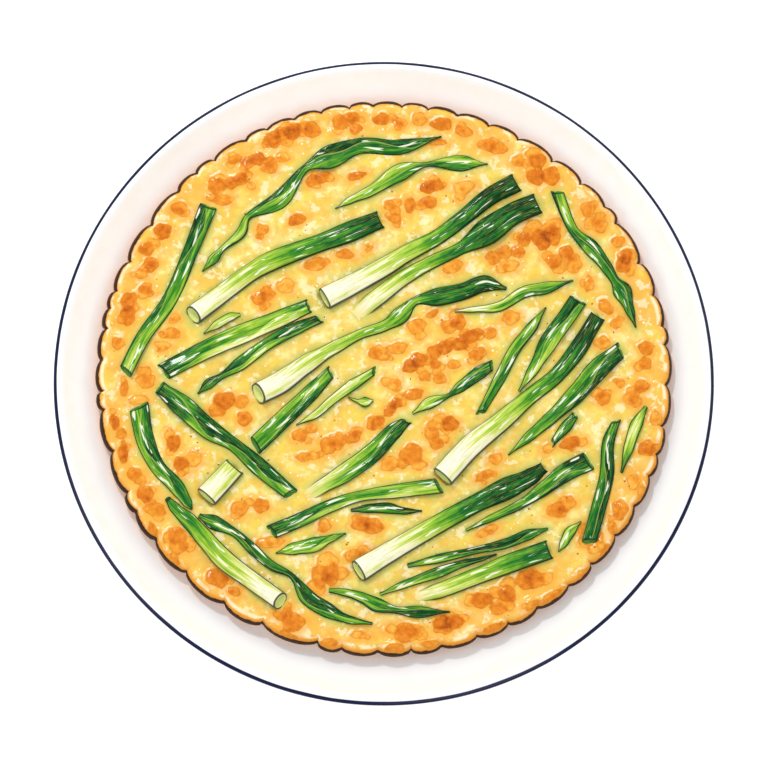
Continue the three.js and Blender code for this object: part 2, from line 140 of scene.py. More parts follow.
def smooth_object(name, mesh):
    mesh.polygons.foreach_set("use_smooth", [True] * len(mesh.polygons))
    piece = bpy.data.objects.new(name, mesh)
    scene.collection.objects.link(piece)
    return piece


def take_mesh(thing, modifier, keep_layers):
    """The result of an object's Geometry Nodes as a plain mesh. The object is removed."""
    depsgraph = bpy.context.evaluated_depsgraph_get()
    made = thing.evaluated_get(depsgraph)
    mesh = bpy.data.meshes.new_from_object(made, preserve_all_data_layers=keep_layers, depsgraph=depsgraph)
    thing.modifiers.remove(modifier)
    bpy.data.objects.remove(thing)
    return mesh


def store(piece, name, values):
    """Keeps one number for each point of a piece, for its material to read."""
    kept = piece.data.attributes.new(name, "FLOAT", "POINT")
    kept.data.foreach_set("value", np.asarray(values, dtype=np.float32))


def store_vectors(piece, name, rows):
    kept = piece.data.attributes.new(name, "FLOAT_VECTOR", "POINT")
    kept.data.foreach_set("vector", np.asarray(rows, dtype=np.float32).ravel())


def face_outwards(mesh):
    """Turns a closed mesh inside out where its volume comes out negative."""
    mesh.calc_loop_triangles()
    corners = np.empty(len(mesh.loop_triangles) * 3, dtype=np.int32)
    mesh.loop_triangles.foreach_get("vertices", corners)
    places = np.empty(len(mesh.vertices) * 3, dtype=np.float64)
    mesh.vertices.foreach_get("co", places)
    a, b, c = places.reshape(-1, 3)[corners.reshape(-1, 3)].transpose(1, 0, 2)
    volume = float(np.einsum("ij,ij->i", a, np.cross(b, c)).sum() / 6)
    if volume < 0:
        mesh.flip_normals()
    return abs(volume) / MM**3


def smoothstep(value):
    t = np.clip(value, 0, 1)
    return t * t * (3 - 2 * t)


def mix(a, b, t):
    return a + (b - a) * t


def mound(distance, spread):
    """A bell that is 1 where the distance is 0 and falls away over the spread."""
    return np.exp(-((distance / spread) ** 2))


print("a mound at its spread is", round(float(mound(1.0, 1.0)), 2), "high")


# %% [markdown]
# ## Where the scallions lie
# The cook lays the scallions by hand, so their places follow no rule and are listed: each row is x, y and
# width in millimetres from the plate's middle, the same as in the solids. The tones say how the colour
# runs from the start to the end of the piece: 0 is the white shank, 1 yellow-green, 2 mid green, 3 dark.

# %% Stems: thick tubes, from the cut white end to the green end
batter_floor = pancake_low.z
stems = [
    ([(-76.3, 25.1, 8), (-53.8, 42.6, 7.4), (-45.6, 47.4, 8.2), (-26, 55.2, 7.4), (-14, 59.8, 8.6),
      (-1.2, 65.2, 7.6)], (0, 0.7, 1.3, 1.9, 2.6, 2.9)),
    ([(-23.8, 31.8, 9.2), (-2, 43.9, 8), (10, 51.4, 7.2), (22, 58, 6.4), (32, 65.8, 6.6), (43.1, 74.9, 7.4),
      (53.8, 80.7, 8)], (0, 0.3, 0.8, 1.5, 2.4, 3, 3)),
    ([(-11.8, 25.1, 6.4), (-2, 33.1, 7.2), (8.4, 41.1, 6.4), (18.5, 47, 5.6), (30, 52.6, 5.2),
      (42, 60.1, 11), (52, 67.3, 9.2), (62.3, 71.8, 8.8)], (0.4, 0.7, 1.2, 1.9, 2.5, 2.9, 3)),
    ([(-50, -7.1, 9), (-41.5, -2.6, 9.2), (-31.5, 4.7, 7.8), (-21.5, 11.1, 5.6), (-9.5, 17.5, 4.2),
      (0.5, 21.2, 4.6), (6.5, 25.2, 7), (12.5, 31.2, 3.6), (22.5, 33.1, 7.6), (32.5, 35.5, 7),
      (40.5, 38.5, 7), (49.2, 36.3, 1.6)], (0, 0.5, 1, 1.3, 1.8, 2.3, 2.7, 3)),
    ([(-70.2, -49.1, 9.4), (-59, -36.4, 8.8)], (0.1, 1)),
    ([(-40.6, -90.6, 7.2), (-52.7, -81.8, 7.4), (-63, -74, 8), (-70, -66.3, 7.2), (-76.5, -58.9, 6.4),
      (-82.6, -53.2, 4.4), (-85.6, -49.5, 2.4)], (0, 0.6, 1, 1.4, 1.9, 2.2)),
    ([(-10, -78.7, 9.2), (0.5, -72.1, 8.4), (12.5, -65, 7.8), (24.5, -58, 7.6), (36.5, -51.4, 7.4),
      (48.5, -45.5, 9), (57.5, -41, 7), (63.8, -36.5, 4.6)], (0, 0.2, 0.9, 1.8, 2.6, 3, 3)),
    ([(23.3, -40.9, 9.4), (34.5, -28.5, 9.2), (46.5, -18.5, 8), (58.2, -8, 6.6), (68.6, 0.4, 6.4),
      (77.4, 11.2, 7.2), (82.7, 20, 6.4), (85.9, 25.2, 6.4)], (0, 0.2, 0.7, 1.2, 1.8, 2.4, 3, 3)),
    ([(11.4, -89.2, 4.2), (22.5, -86.1, 6.4), (36.5, -80.6, 6.8), (50.5, -75.2, 7.8), (65.5, -69.8, 7.8)],
     (0.7, 1, 1.3, 1.9, 2.6)),
]
print(len(stems), "stems")

# %% Leaves and strips: thin, folded and twisted
leaves = [
    ([(-70.8, 70.6, 7.2), (-77.3, 53, 6.2), (-85.8, 32, 6.2), (-96.4, 16, 6), (-103, 2.2, 6)],
     (2.9, 2.8, 2.5, 2.4, 2.3)),
    ([(23.3, 100, 0.8), (6.5, 95.6, 6.6), (-9.5, 96, 6.8), (-21.9, 91.1, 10), (-31.8, 86.4, 3.4),
      (-42, 73.5, 7.4), (-55, 66, 2.8), (-57.4, 59.7, 4.2), (-65, 52.7, 2.4), (-68.3, 48.7, 4.2),
      (-72.8, 43.5, 0.8)], (3, 3, 2.9, 2.8, 2.7, 2.3, 1.8)),
    ([(42, 88.3, 0.8), (31, 88.8, 7), (17.5, 88.2, 2.2), (6.5, 84.7, 7.4), (-5.5, 77, 4.6),
      (-13, 73.5, 3.2), (-19.5, 69.8, 0.6)], (2.4, 2.3, 2.2, 2, 1.6, 1.2)),
    ([(70.1, 76.7, 5), (76.5, 60.5, 4), (83.4, 53.4, 6.6), (89.2, 45.9, 5), (92.7, 40.1, 3.8),
      (95.7, 35.5, 7.8), (98.3, 28.4, 4.2), (100.9, 20.3, 0.8)], (2.7, 2.6, 2.6, 2.8, 2.9)),
    ([(28.5, 27, 1), (36.5, 27.7, 2.6), (46.5, 29, 4.2), (56.5, 35, 5), (64.5, 36.5, 5.2), (76, 39.7, 0.8)],
     (1.2, 1.6, 2.2, 2.3)),
    ([(-88, 2.1, 7.6), (-73.5, 10, 7.8), (-57.5, 17.1, 8.2), (-43.5, 23.2, 7.4), (-29.9, 29.3, 6)],
     (3, 2.4, 1.6, 1.4, 1.7, 2.4)),
    ([(-25.8, 23.8, 4), (-35.5, 19.6, 5.2), (-46.5, 13.5, 5.2), (-56.7, 5.9, 5.8), (-64.8, 0.3, 2.8),
      (-69.8, -2.8, 4.2), (-74.1, -6.9, 0.8)], (3.2, 2.8, 1.8, 2.7, 2.9)),
    ([(-72, 17.7, 0.8), (-66, 21.9, 3.8), (-61.5, 24.6, 3.8), (-57.6, 25.6, 1.6)], (1.3, 1.6)),
    ([(-21.1, 2, 5), (-29.9, -7.1, 6.8), (-39.5, -16.9, 7.2), (-51, -28, 7.4)], (2.6, 2.6, 2.5, 2.5)),
    ([(-89.4, -4.3, 5.6), (-79.6, -12.5, 8.8), (-69.7, -21.2, 8.2), (-59.5, -27.7, 5.6),
      (-49.5, -36.5, 7.2), (-36.9, -47.5, 6)], (2.8, 2.6, 2.6, 2.8, 2.6)),
    ([(-97.5, -12.2, 8), (-95, -25, 7.4), (-89.8, -36.5, 6.2), (-82.8, -43.8, 6.2), (-77.8, -51, 4.2),
      (-76, -53.8, 1)], (2.6, 2.6, 2.5, 2.1)),
    ([(-73, -56.2, 2), (-67.3, -58.9, 6), (-58.6, -63.4, 3.4), (-51.8, -69.7, 4.4), (-44, -76.5, 3.8),
      (-36.4, -80.4, 2.4), (-29.7, -89.2, 6.4), (-23.5, -93.3, 6.4), (-14.6, -97.6, 3.6),
      (-4.5, -99.5, 1.2)], (3, 2.8, 2.7, 2.9, 2.8)),
    ([(-3.7, 2.4, 3.2), (-12.3, -3.3, 4.6), (-20.9, -9.9, 3.8), (-27, -15.3, 3.4), (-34.8, -19.7, 0.8)],
     (2.2, 1.6, 1.4, 1.3)),
    ([(-14, -8.4, 0.8), (-10.8, -9.8, 1.6), (-7.3, -10.3, 4.5), (-4.3, -9.6, 1)], (2.1, 2.1)),
    ([(9, -17.9, 4), (3.5, -22.6, 6.8), (-4.6, -31.1, 7.8), (-14.7, -38.7, 7.8), (-24.7, -44.7, 6),
      (-31.3, -48.7, 5)], (3, 2.9, 2.3, 1.5, 1)),
    ([(-44.3, -62.8, 6), (-33.5, -58.3, 5.8), (-21.5, -52.6, 5.4), (-9.5, -48.5, 4.6), (6.5, -46.3, 6),
      (21.9, -44.4, 6.4)], (3, 2.4, 1.7, 1.7, 2.3)),
    ([(-12.9, -54.2, 1.4), (-5.5, -53.4, 3.8), (1.5, -53.2, 4.6), (8, -54.4, 3), (15, -54.4, 0.8)],
     (3.3, 3)),
    ([(-42.5, -71.3, 0.8), (-35.5, -69.5, 5.2), (-27.5, -68, 6.2), (-21, -65.6, 3.2), (-15, -63.5, 0.8)],
     (1.9, 2.1)),
    ([(81.3, -34.3, 8), (72.5, -38.7, 7.6), (64.7, -44.5, 6), (54.5, -51.5, 4), (44.5, -56.4, 3.2),
      (32.5, -62.2, 1.2)], (3, 2.8, 2.2, 1.4)),
    ([(92.5, -18.1, 3.4), (89.2, -27, 5), (88.5, -39.5, 5.8), (85.5, -51.5, 6), (81.2, -66.7, 5.8)],
     (3, 2.9, 3)),
    ([(104.5, -12.2, 1.8), (100.5, -19.5, 5), (97.6, -28, 4.4), (94.3, -39, 1.2)], (2.5, 1.8, 2.5)),
    ([(94.7, 10.9, 6.6), (85.5, 3, 8.6), (77.3, -6.4, 7.6), (67.2, -16, 5.6), (58.9, -23.4, 4.4),
      (49.5, -31.8, 0.8)], (3, 2.8, 2.6, 2)),
    ([(76.2, -15.6, 3.2), (72.6, -20.2, 4.6), (67, -26.9, 2.6)], (2.7, 2.6)),
    ([(54, -5.8, 1.2), (60.2, 3.8, 4.8), (66.2, 14.6, 7.4), (72.8, 23.9, 7.2), (78, 31.8, 7.4)],
     (1.7, 2.1, 2.4, 2.8)),
    ([(65, 28.5, 0.8), (58.7, 19.5, 4.6), (52.4, 11.3, 4.8), (46.8, 0.5, 4.8), (38.6, -14.7, 3.2)],
     (2.7, 2.8, 2.3, 2.2, 2.2)),
    ([(43.2, 4.6, 4.2), (38.1, 1.6, 5.6), (31, -3.7, 4.6), (26, -7.5, 1.8), (18.5, -10.5, 5),
      (11.5, -15, 1.2)], (3, 2.8, 1.8, 1.5)),
    ([(9.5, -76.3, 2), (22.5, -73.4, 3.8), (36.5, -70.3, 3), (48.5, -67.5, 4.2), (56.5, -64.2, 4.6),
      (64.8, -61.6, 1.2)], (2.7, 2.8)),
    ([(-1.4, -87.8, 1.4), (9.2, -83.5, 3.4), (21.3, -79.2, 4.6), (31, -75.6, 3.2), (38, -73.8, 2),
      (44.5, -71.9, 0.8)], (2, 2.6, 2.6)),
    ([(-21.5, -86.2, 2), (-13.5, -87.4, 3.4), (-8, -89.3, 4.4), (-3, -91.8, 6), (5, -94.1, 3),
      (13.5, -94.8, 5), (26, -94.8, 0.8)], (2.7, 2.7, 2.6)),
    ([(78, -58.7, 0.8), (73.5, -63, 4.4), (71.2, -67.2, 3.6), (69, -70.7, 0.8)], (2.1, 1.9)),
]
print(len(leaves), "leaves and strips")

# %% [markdown]
# ## Routes
# A smooth curve through the listed places gives each piece its route. The centripetal Catmull-Rom spline is
# the one that the solids use: it passes through every place and makes no loops where places lie close.


# %% Smooth routes with a station every millimetre
def spline_point(before, start, end, after, t):
    """A point of the centripetal Catmull-Rom spline between start and end."""
    knots = [0.0]
    for a, b in ((before, start), (start, end), (end, after)):
        knots.append(knots[-1] + math.sqrt(np.linalg.norm(b - a)))
    at = mix(knots[1], knots[2], t)

    def between(a, b, i, j):
        return (a * (knots[j] - at) + b * (at - knots[i])) / (knots[j] - knots[i])

    first = between(before, start, 0, 1)
    second = between(start, end, 1, 2)
    third = between(end, after, 2, 3)
    return between(between(first, second, 0, 2), between(second, third, 1, 3), 1, 2)


def make_route(rows, step=1.0):
    """Stations along a piece: places, directions to its side, half widths and distance along it."""
    places = np.array([row[:2] for row in rows], dtype=float)
    padded = np.vstack([2 * places[0] - places[1], places, 2 * places[-1] - places[-2]])
    middles, halves = [], []
    for i in range(len(rows) - 1):
        parts = max(3, round(np.linalg.norm(places[i + 1] - places[i]) / step))
        for part in range(parts + (i == len(rows) - 2)):
            t = part / parts
            middles.append(spline_point(*padded[i : i + 4], t))
            halves.append(mix(rows[i][2], rows[i + 1][2], float(smoothstep(t))) / 2)
    middles = np.array(middles)
    ahead = np.gradient(middles, axis=0)
    ahead /= np.linalg.norm(ahead, axis=1)[:, None]
    along = np.concatenate([[0], np.cumsum(np.linalg.norm(np.diff(middles, axis=0), axis=1))])
    side = np.column_stack([ahead[:, 1], -ahead[:, 0]])
    return {"middle": middles, "ahead": ahead, "side": side, "half": np.array(halves), "along": along}


def cover_end(route, end):
    """How far the batter ran over a piece: 1 at the end that it hides, 0 from there on."""
    if end is None:
        return np.zeros(len(route["along"]))
    away = route["along"] if end == "start" else route["along"][-1] - route["along"]
    return smoothstep(1 - away / covered_reach)


covered_reach = 9.0
covered_stems = {2: "start", 8: "start"}
covered_leaves = {14: "end"}
stem_routes = [make_route(rows) for rows, _ in stems]
leaf_routes = [make_route(rows) for rows, _ in leaves]
for routes, covered in ((stem_routes, covered_stems), (leaf_routes, covered_leaves)):
    for i, route in enumerate(routes):
        route["cover"] = cover_end(route, covered.get(i))
        route["mouth"] = routes is stem_routes and i not in covered
print("scallion laid in all:", round(sum(r["along"][-1] for r in stem_routes + leaf_routes)), "mm")

# %% [markdown]
# ## The batter
# The pancake is one sheet of batter with three kinds of relief: the scalloped, rolled edge where it ran out
# in the pan, blisters that hot oil raised and browned, and the beds that the scallions pressed. All three are
# heights over a disc, so the mesh is rings of points moved by a height function, which keeps every detail at
# its real place. A sculpted mesh would do as well but could not be measured.

# %% The scalloped outline
pancake_half_x = 115.6
pancake_half_y = 114.2
pancake_middle_y = 2.2
cusp_start = 0.6
cusp_share = 0.13
lobe_reach = 12.0
first_cusp = math.radians(-13.3)
lobe_widths = np.array([
    12, 9.6, 12, 11, 12, 14, 13, 17, 15, 14, 7, 20, 14, 13.5, 7, 17, 17, 12, 8.5, 14, 14, 15, 12, 16, 13,
    13, 15, 12, 13, 15, 9, 24, 17, 20, 18, 13.5, 8, 18, 18, 7, 13, 13, 8.5, 7, 13.5, 18, 18, 10, 9, 16,
    9.5, 12, 11,
])
lobe_ends = np.cumsum(lobe_widths)


def lobe_at(bearing):
    """An arch over a bearing's lobe, from 0 at a cusp to 1 at the crest, and the lobe's width."""
    along = np.mod(bearing - first_cusp, 2 * math.pi) / (2 * math.pi) * lobe_ends[-1]
    index = np.minimum(np.searchsorted(lobe_ends, along), len(lobe_widths) - 1)
    width = lobe_widths[index]
    across = 2 * (along - (lobe_ends[index] - width)) / width - 1
    return np.sqrt(np.clip(1 - across**2, 0, 1)), width


def oval_radius(bearing):
    return 1 / np.hypot(np.sin(bearing) / pancake_half_x, np.cos(bearing) / pancake_half_y)


print(len(lobe_widths), "lobes,", lobe_ends[-1].round(), "mm round")

# %% Browned patches: x, y, half length, half width, turn in degrees and how brown, 1 golden to 3 dark
patches = [
    (-60.5, 90.5, 3.4, 2.2, 35, 2), (-53, 90, 5.5, 3, 25, 3), (-46.5, 88, 4, 4, 0, 2),
    (-67.5, 79.5, 4, 4, 0, 3), (-59.5, 81.5, 5, 3, 25, 3), (-65, 73.5, 4, 2.4, 0, 2),
    (-53.5, 79.5, 2, 2, 0, 1), (-41, 100.5, 8.5, 3.2, 25, 3), (-29, 103, 3.6, 3.6, 0, 2),
    (-17.5, 106, 3.6, 3.4, 0, 2), (-12.5, 108, 2.8, 2.6, 0, 3), (-11.5, 103.5, 2.8, 2.8, 0, 2),
    (-1, 107.5, 3.6, 2.8, 0, 3), (6.5, 105.5, 3.2, 3.2, 0, 1), (14.5, 107.5, 3.2, 3, 0, 1),
    (23.5, 105.5, 4.8, 2.8, 0, 3), (32.5, 102.5, 4, 2.4, -10, 2), (21, 98, 4.8, 1.6, 0, 2),
    (44, 95.5, 6.5, 3, -15, 2), (54.5, 90, 2.8, 2.8, 0, 1), (62.5, 90, 3.6, 3.6, 0, 3),
    (61.5, 83.3, 4, 3.6, 0, 3), (67.5, 83.5, 4, 4, 0, 3), (82.5, 69.5, 3.2, 3.2, 0, 2),
    (87, 63, 3.6, 3.6, 0, 2), (94.5, 56, 2.8, 2.8, 0, 2), (97, 48, 3.2, 5.2, 0, 3),
    (65.5, 58.3, 6.2, 4.8, 20, 3), (56.5, 57, 3.2, 3.2, 0, 2), (48.5, 51.5, 3.2, 3.2, 0, 2),
    (54, 52, 3.2, 3.2, 0, 3), (44, 49.5, 3.2, 3, 0, 2), (50.5, 46, 4.4, 2.8, 0, 1),
    (68.5, 48, 3.6, 3.6, 0, 2), (73.5, 51.5, 3.2, 3.2, 0, 3), (76.5, 46, 3.2, 3.2, 0, 1),
    (82.5, 38.5, 2.4, 3.6, 0, 1), (89, 29, 4, 2.4, -50, 2), (93, 22, 2.4, 2.4, 0, 2),
    (105, 12, 3.2, 3.2, 0, 3), (104.5, 5.7, 2.8, 2.8, 0, 2), (103, -3.7, 3.2, 3.2, 0, 2),
    (98.5, -8.5, 3.2, 3, 0, 2), (108.5, -17, 2.4, 3.2, 0, 1), (104.5, -29, 3.6, 3.6, 0, 2),
    (99, -42.5, 2.8, 3.6, 0, 1), (93.5, -54, 3.2, 4.4, 0, 2), (102.5, -47.5, 2, 4, 15, 1),
    (90.5, -61, 2, 3.2, 0, 2), (88, -71, 2.4, 3.6, -25, 2), (80.5, -79, 4, 2, 40, 2),
    (66.5, -88.5, 5, 2, 30, 2), (58.5, -92, 4, 1.8, 25, 2), (57.5, -81.5, 5.6, 4, 20, 3),
    (48.5, -87.5, 3.6, 3.6, 0, 3), (38.5, -90, 4.6, 3.6, 15, 3), (45, -93.5, 3.6, 3, 0, 2),
    (25.5, -99, 6.4, 3.2, 8, 3), (8.5, -103, 4.8, 4.2, 0, 3), (-9.5, -104, 3.6, 2, 0, 1),
    (4.5, -109, 4, 1.8, 0, 2), (18.5, -107.5, 4, 1.8, 8, 1), (-21.5, -107, 4, 1.8, -8, 2),
    (-35.5, -99, 4.8, 4.4, 0, 2), (-39.5, -95.5, 4, 3.2, 0, 2), (-37.5, -104, 4.4, 1.6, -15, 2),
    (-65.5, -81, 4.8, 4, -20, 3), (-59, -86.5, 3.2, 2, -30, 2), (-81, -66, 4, 5.6, 20, 2),
    (-82.5, -73.3, 1.6, 3.4, 40, 2), (-94.5, -47.5, 3.6, 3.6, 0, 3), (-90.5, -53.7, 4.8, 3.2, -20, 2),
    (-91.3, -62, 1.6, 3.6, 32, 2), (-99, -39.4, 3.2, 3.2, 0, 2), (-103.5, -31, 2.4, 4.4, 10, 3),
    (-107.2, -18.3, 2.2, 3.6, 5, 3), (-104.5, -23, 2.4, 2.4, 0, 2), (-103.5, -4.5, 2, 3.6, 0, 2),
    (-95, -1.5, 4, 3.6, 0, 2), (-102.5, 28.3, 3.2, 7.2, 0, 3), (-95.5, 36.5, 2.8, 2.8, 0, 2),
    (-106.5, 14, 2.8, 2.8, 0, 2), (-93.5, 46.7, 3.2, 3.2, 0, 3), (-95.5, 53, 3.4, 3.2, 0, 2),
    (-97.5, 42.6, 2.6, 2.6, 0, 2), (-89, 60.3, 3.6, 3.6, 0, 3), (-82.5, 70, 3.4, 3.2, 0, 2),
    (-85, 18, 4, 2.8, 0, 2), (-84, 24, 2.8, 2.2, 30, 1), (-83.5, -27, 2.8, 3.6, 0, 3),
    (-80.5, -35.3, 3.2, 3.2, 0, 3), (-75.5, -33.2, 3.4, 3.2, 0, 1), (-63.5, -9.5, 4.6, 4, 0, 3),
    (-55.5, -16.8, 3.2, 3.2, 0, 2), (-49, 61, 2.8, 2.8, 0, 2), (-35, 65.2, 4, 2.6, 10, 3),
    (-26.5, 82, 5.5, 2.6, 18, 2), (-10.9, 83.7, 4.2, 2, 20, 3), (4.5, 66, 3, 2.4, 0, 2),
    (2.5, 71.3, 2.6, 2.6, 0, 2), (10.5, 71.3, 2.4, 3.6, 0, 3), (18.5, 72.6, 3.2, 3, 0, 2),
    (19.5, 78.7, 5.2, 2.8, 5, 3), (32.5, 78.7, 4.6, 3, 10, 1), (-27.5, 46.7, 4.8, 3.2, 15, 2),
    (-15.5, 50.8, 4, 2.2, 0, 2), (-48.5, 33.5, 5, 3.2, 25, 2), (-39.5, 37.7, 3.8, 3.2, 0, 1),
    (27.5, 46, 4.4, 3.6, 20, 1), (13.3, 20.8, 4, 3.6, 30, 2), (19.5, 26, 2.8, 1.8, 30, 2),
    (28.2, 21.4, 5.4, 3, 20, 2), (12.5, 5.6, 5.5, 3.2, 22, 3), (22.5, 11, 5.5, 3.2, 25, 3),
    (33, 15, 6.5, 3, 25, 3), (22.5, -0.4, 2.8, 2.6, 0, 2), (16.5, 0.4, 2.6, 2.4, 0, 2),
    (-3.5, 10, 2.8, 2.8, 0, 2), (5.5, 12, 4.4, 2.8, 15, 2), (4.5, -3.3, 3, 3, 0, 1),
    (11.8, -7, 4.4, 2.6, 15, 2), (3.5, -12, 5, 2.4, 40, 3), (-12.5, -24.3, 4.2, 2.6, 35, 3),
    (-20.5, -27, 5.4, 3.6, 25, 2), (-33.5, -23.8, 3.2, 3, 0, 2), (-29, -21, 2.6, 2.4, 0, 1),
    (-30, -32, 5, 2, 15, 1), (26.5, -19, 3.6, 3.6, 0, 3), (19, -23, 3, 3, 0, 2), (21, -27, 3, 2.8, 0, 2),
    (11, -31.5, 4.8, 4.4, 0, 2), (2.5, -35.3, 4, 3, 0, 1), (87.5, -8.6, 3.2, 3, 0, 2),
    (74.2, -26.8, 4.6, 2.6, 15, 3), (65.5, -29, 2.8, 2.2, 20, 1), (94.5, -2.5, 2, 2, 0, 2),
    (44.5, -33.2, 3, 2.4, 30, 1), (51, 24.2, 4, 2.6, 10, 1), (42.5, 18, 3, 2.4, 20, 2),
    (-6.5, -60, 6.4, 3.4, 4, 2), (-23.5, -60.7, 3, 2.4, 15, 1), (-23, -80.4, 5.6, 4.8, 0, 2),
    (-10.5, -71.5, 5.5, 2.6, 25, 1), (41, -62.4, 5, 1.7, 28, 1), (70.5, -53, 6.4, 3.2, 25, 2),
    (-57, -53.2, 3.6, 3.4, 0, 2), (-48.4, -52.3, 3.2, 3, 0, 2), (-45, -66.5, 6, 2.4, 10, 1),
    (88, 14, 2.6, 3, 0, 1), (-97.5, -9.2, 4.2, 2.2, 0, 1), (-88.5, 13, 3.6, 2, 0, 1),
    (-57, -10, 3.4, 2.8, 0, 2), (-41, 91.5, 3, 2.8, 0, 1), (-6, 53, 2.4, 1.2, 40, 1),
    (20.5, 5.5, 2.6, 2.2, 0, 3), (37.5, 18.5, 2.8, 2, 0, 3), (37.5, 9.5, 4, 2.6, 10, 2),
    (28, 5.2, 3, 2, 0, 1), (0, 8.3, 3.4, 1.6, 10, 2), (-2.5, -18.5, 3.8, 2.4, 40, 3),
    (40, -40, 4.4, 2.2, 25, 2), (43, -101, 4.4, 1.7, 12, 2), (82, -66, 5, 4, 0, 1),
]
print(len(patches), "browned patches")

# %% [markdown]
# Each patch is a blister that the hot oil raised and browned. A long patch is a row of blisters that ran
# together. On each blister sit a few smaller bubbles, browner than the rest, so the tone is never even.

# %% Blisters of each patch, and the bubbles on them
patch_tones = (0.2, 0.4, 0.58)
blister_length = 3.2
blister_overlap = 0.14
draw = random.Random(7)


def blisters_in(patch):
    """Ovals as x, y, half length, half width, turn, tone and height."""
    x, y, long, wide, turn, brown = patch
    if wide > long:
        long, wide, turn = wide, long, turn + 90
    cosine, sine = math.cos(math.radians(turn)), math.sin(math.radians(turn))
    count = max(1, round(long / blister_length))
    half = long if count == 1 else long * (1 / count + blister_overlap)
    found = []

    def add(u, v, half_long, half_wide, tone, height):
        spin = math.radians(turn + draw.uniform(-12, 12))
        place = (x + u * cosine - v * sine, y + u * sine + v * cosine)
        found.append((*place, half_long, half_wide, spin, tone, height))

    for i in range(count):
        u = 0.0 if count == 1 else (long - half) * (2 * i / (count - 1) - 1)
        v = 0.0 if count == 1 else draw.uniform(-0.25, 0.25) * wide
        tone = patch_tones[brown - 1] + draw.uniform(-0.1, 0.1)
        add(u, v, half, wide * draw.uniform(0.88, 1.05), tone, draw.uniform(0.3, 0.55))
        for _ in range(draw.randint(0, brown)):
            away = draw.uniform(0.75, 1.25)
            where = draw.uniform(0, 2 * math.pi)
            size = draw.uniform(0.5, 0.8) * wide
            tone = draw.uniform(0.12, 0.3)
            aside = away * half * math.cos(where), away * wide * math.sin(where)
            add(u + aside[0], v + aside[1], size * 1.25, size, tone, 0.3)
        for _ in range(draw.randint(1, 3)):
            size = draw.uniform(0.35, 0.6) * min(half, wide)
            aside = draw.uniform(-0.5, 0.5) * half, draw.uniform(-0.45, 0.45) * wide
            tone = draw.uniform(0.05, 0.28)
            add(u + aside[0], v + aside[1], size * 1.2, size, tone, draw.uniform(0.1, 0.35))
    return found


blisters = [blister for patch in patches for blister in blisters_in(patch)]
print(len(blisters), "blisters and bubbles")


# %% Rings of points for the disc
ring_step = 0.85
points_round_edge = 848
edge_rows = 18
edge_top = 8.6
edge_waist = 4.3
edge_out_below = 8.5
edge_out_above = 4.6


def disc_rings():
    """Bearings and insets of every ring, from the underside round the edge to the middle of the top."""
    rings = []
    for row in range(edge_rows + 1):
        climb = mix(-math.pi / 2, math.pi / 2, row / edge_rows)
        out = edge_out_below if climb < 0 else edge_out_above
        level = edge_waist * (1 + math.sin(climb))
        rings.append((points_round_edge, out * (1 - math.cos(climb)), level, False))
    radius = pancake_half_y
    inset = edge_out_above + ring_step
    while inset < radius - 1:
        left = radius - inset
        halvings = int(math.log2(radius / left))
        rings.append((points_round_edge >> min(halvings, 4), inset, edge_top, True))
        inset += ring_step
    return rings


rings = disc_rings()
bearings = np.concatenate([np.arange(n) * 2 * math.pi / n for n, *_ in rings])
insets = np.concatenate([np.full(n, inset) for n, inset, *_ in rings])
levels = np.concatenate([np.full(n, level) for n, _, level, _ in rings])
on_top = np.concatenate([np.full(n, top) for n, *_, top in rings])
print(len(rings), "rings,", len(bearings), "points")

# %% Places of the points, with the lobes and cusps of the edge
arch, lobe_width = lobe_at(bearings)
reach_in = np.clip(1 - insets / lobe_reach, 0, 1)
drop = (cusp_start + cusp_share * lobe_width) * (1 - arch) * reach_in
radii = oval_radius(bearings) - insets - drop
disc_x = radii * np.sin(bearings)
disc_y = pancake_middle_y + radii * np.cos(bearings)
print("outline from", radii.max().round(1), "mm")


# %% Distance to the scallions
bed_reach = 9.0
bed_past_mouth = 2.2
tip_half = 0.8
widest_half = 6.0


def near_routes(routes, reach):
    """For each point of the disc, how far it is outside the nearest piece's edge, no more than reach."""
    gap = np.full(len(disc_x), reach)
    for route in routes:
        bare = route["cover"] < 0.5
        to_end = route["along"][-1] - route["along"]
        to_end = to_end if route["mouth"] else np.minimum(to_end, route["along"])
        middle = route["middle"][bare]
        half = np.minimum(route["half"], to_end + tip_half)[bare]
        low = middle.min(axis=0) - reach - widest_half
        high = middle.max(axis=0) + reach + widest_half
        near = np.flatnonzero((disc_x > low[0]) & (disc_x < high[0]) & (disc_y > low[1]) & (disc_y < high[1]))
        across = np.hypot(disc_x[near, None] - middle[:, 0], disc_y[near, None] - middle[:, 1])
        away = (across - half).min(axis=1)
        if route["mouth"]:
            start, out = route["middle"][0], -route["ahead"][0]
            before = (disc_x[near] - start[0]) * out[0] + (disc_y[near] - start[1]) * out[1]
            away = np.maximum(away, before - bed_past_mouth)
        gap[near] = np.minimum(gap[near], away)
    return gap


stem_gap = near_routes(stem_routes, bed_reach)
leaf_gap = near_routes(leaf_routes, bed_reach)
piece_gap = np.minimum(stem_gap, leaf_gap)
print("share of the batter under scallions:", round(float((piece_gap[on_top] < 0).mean()), 3))

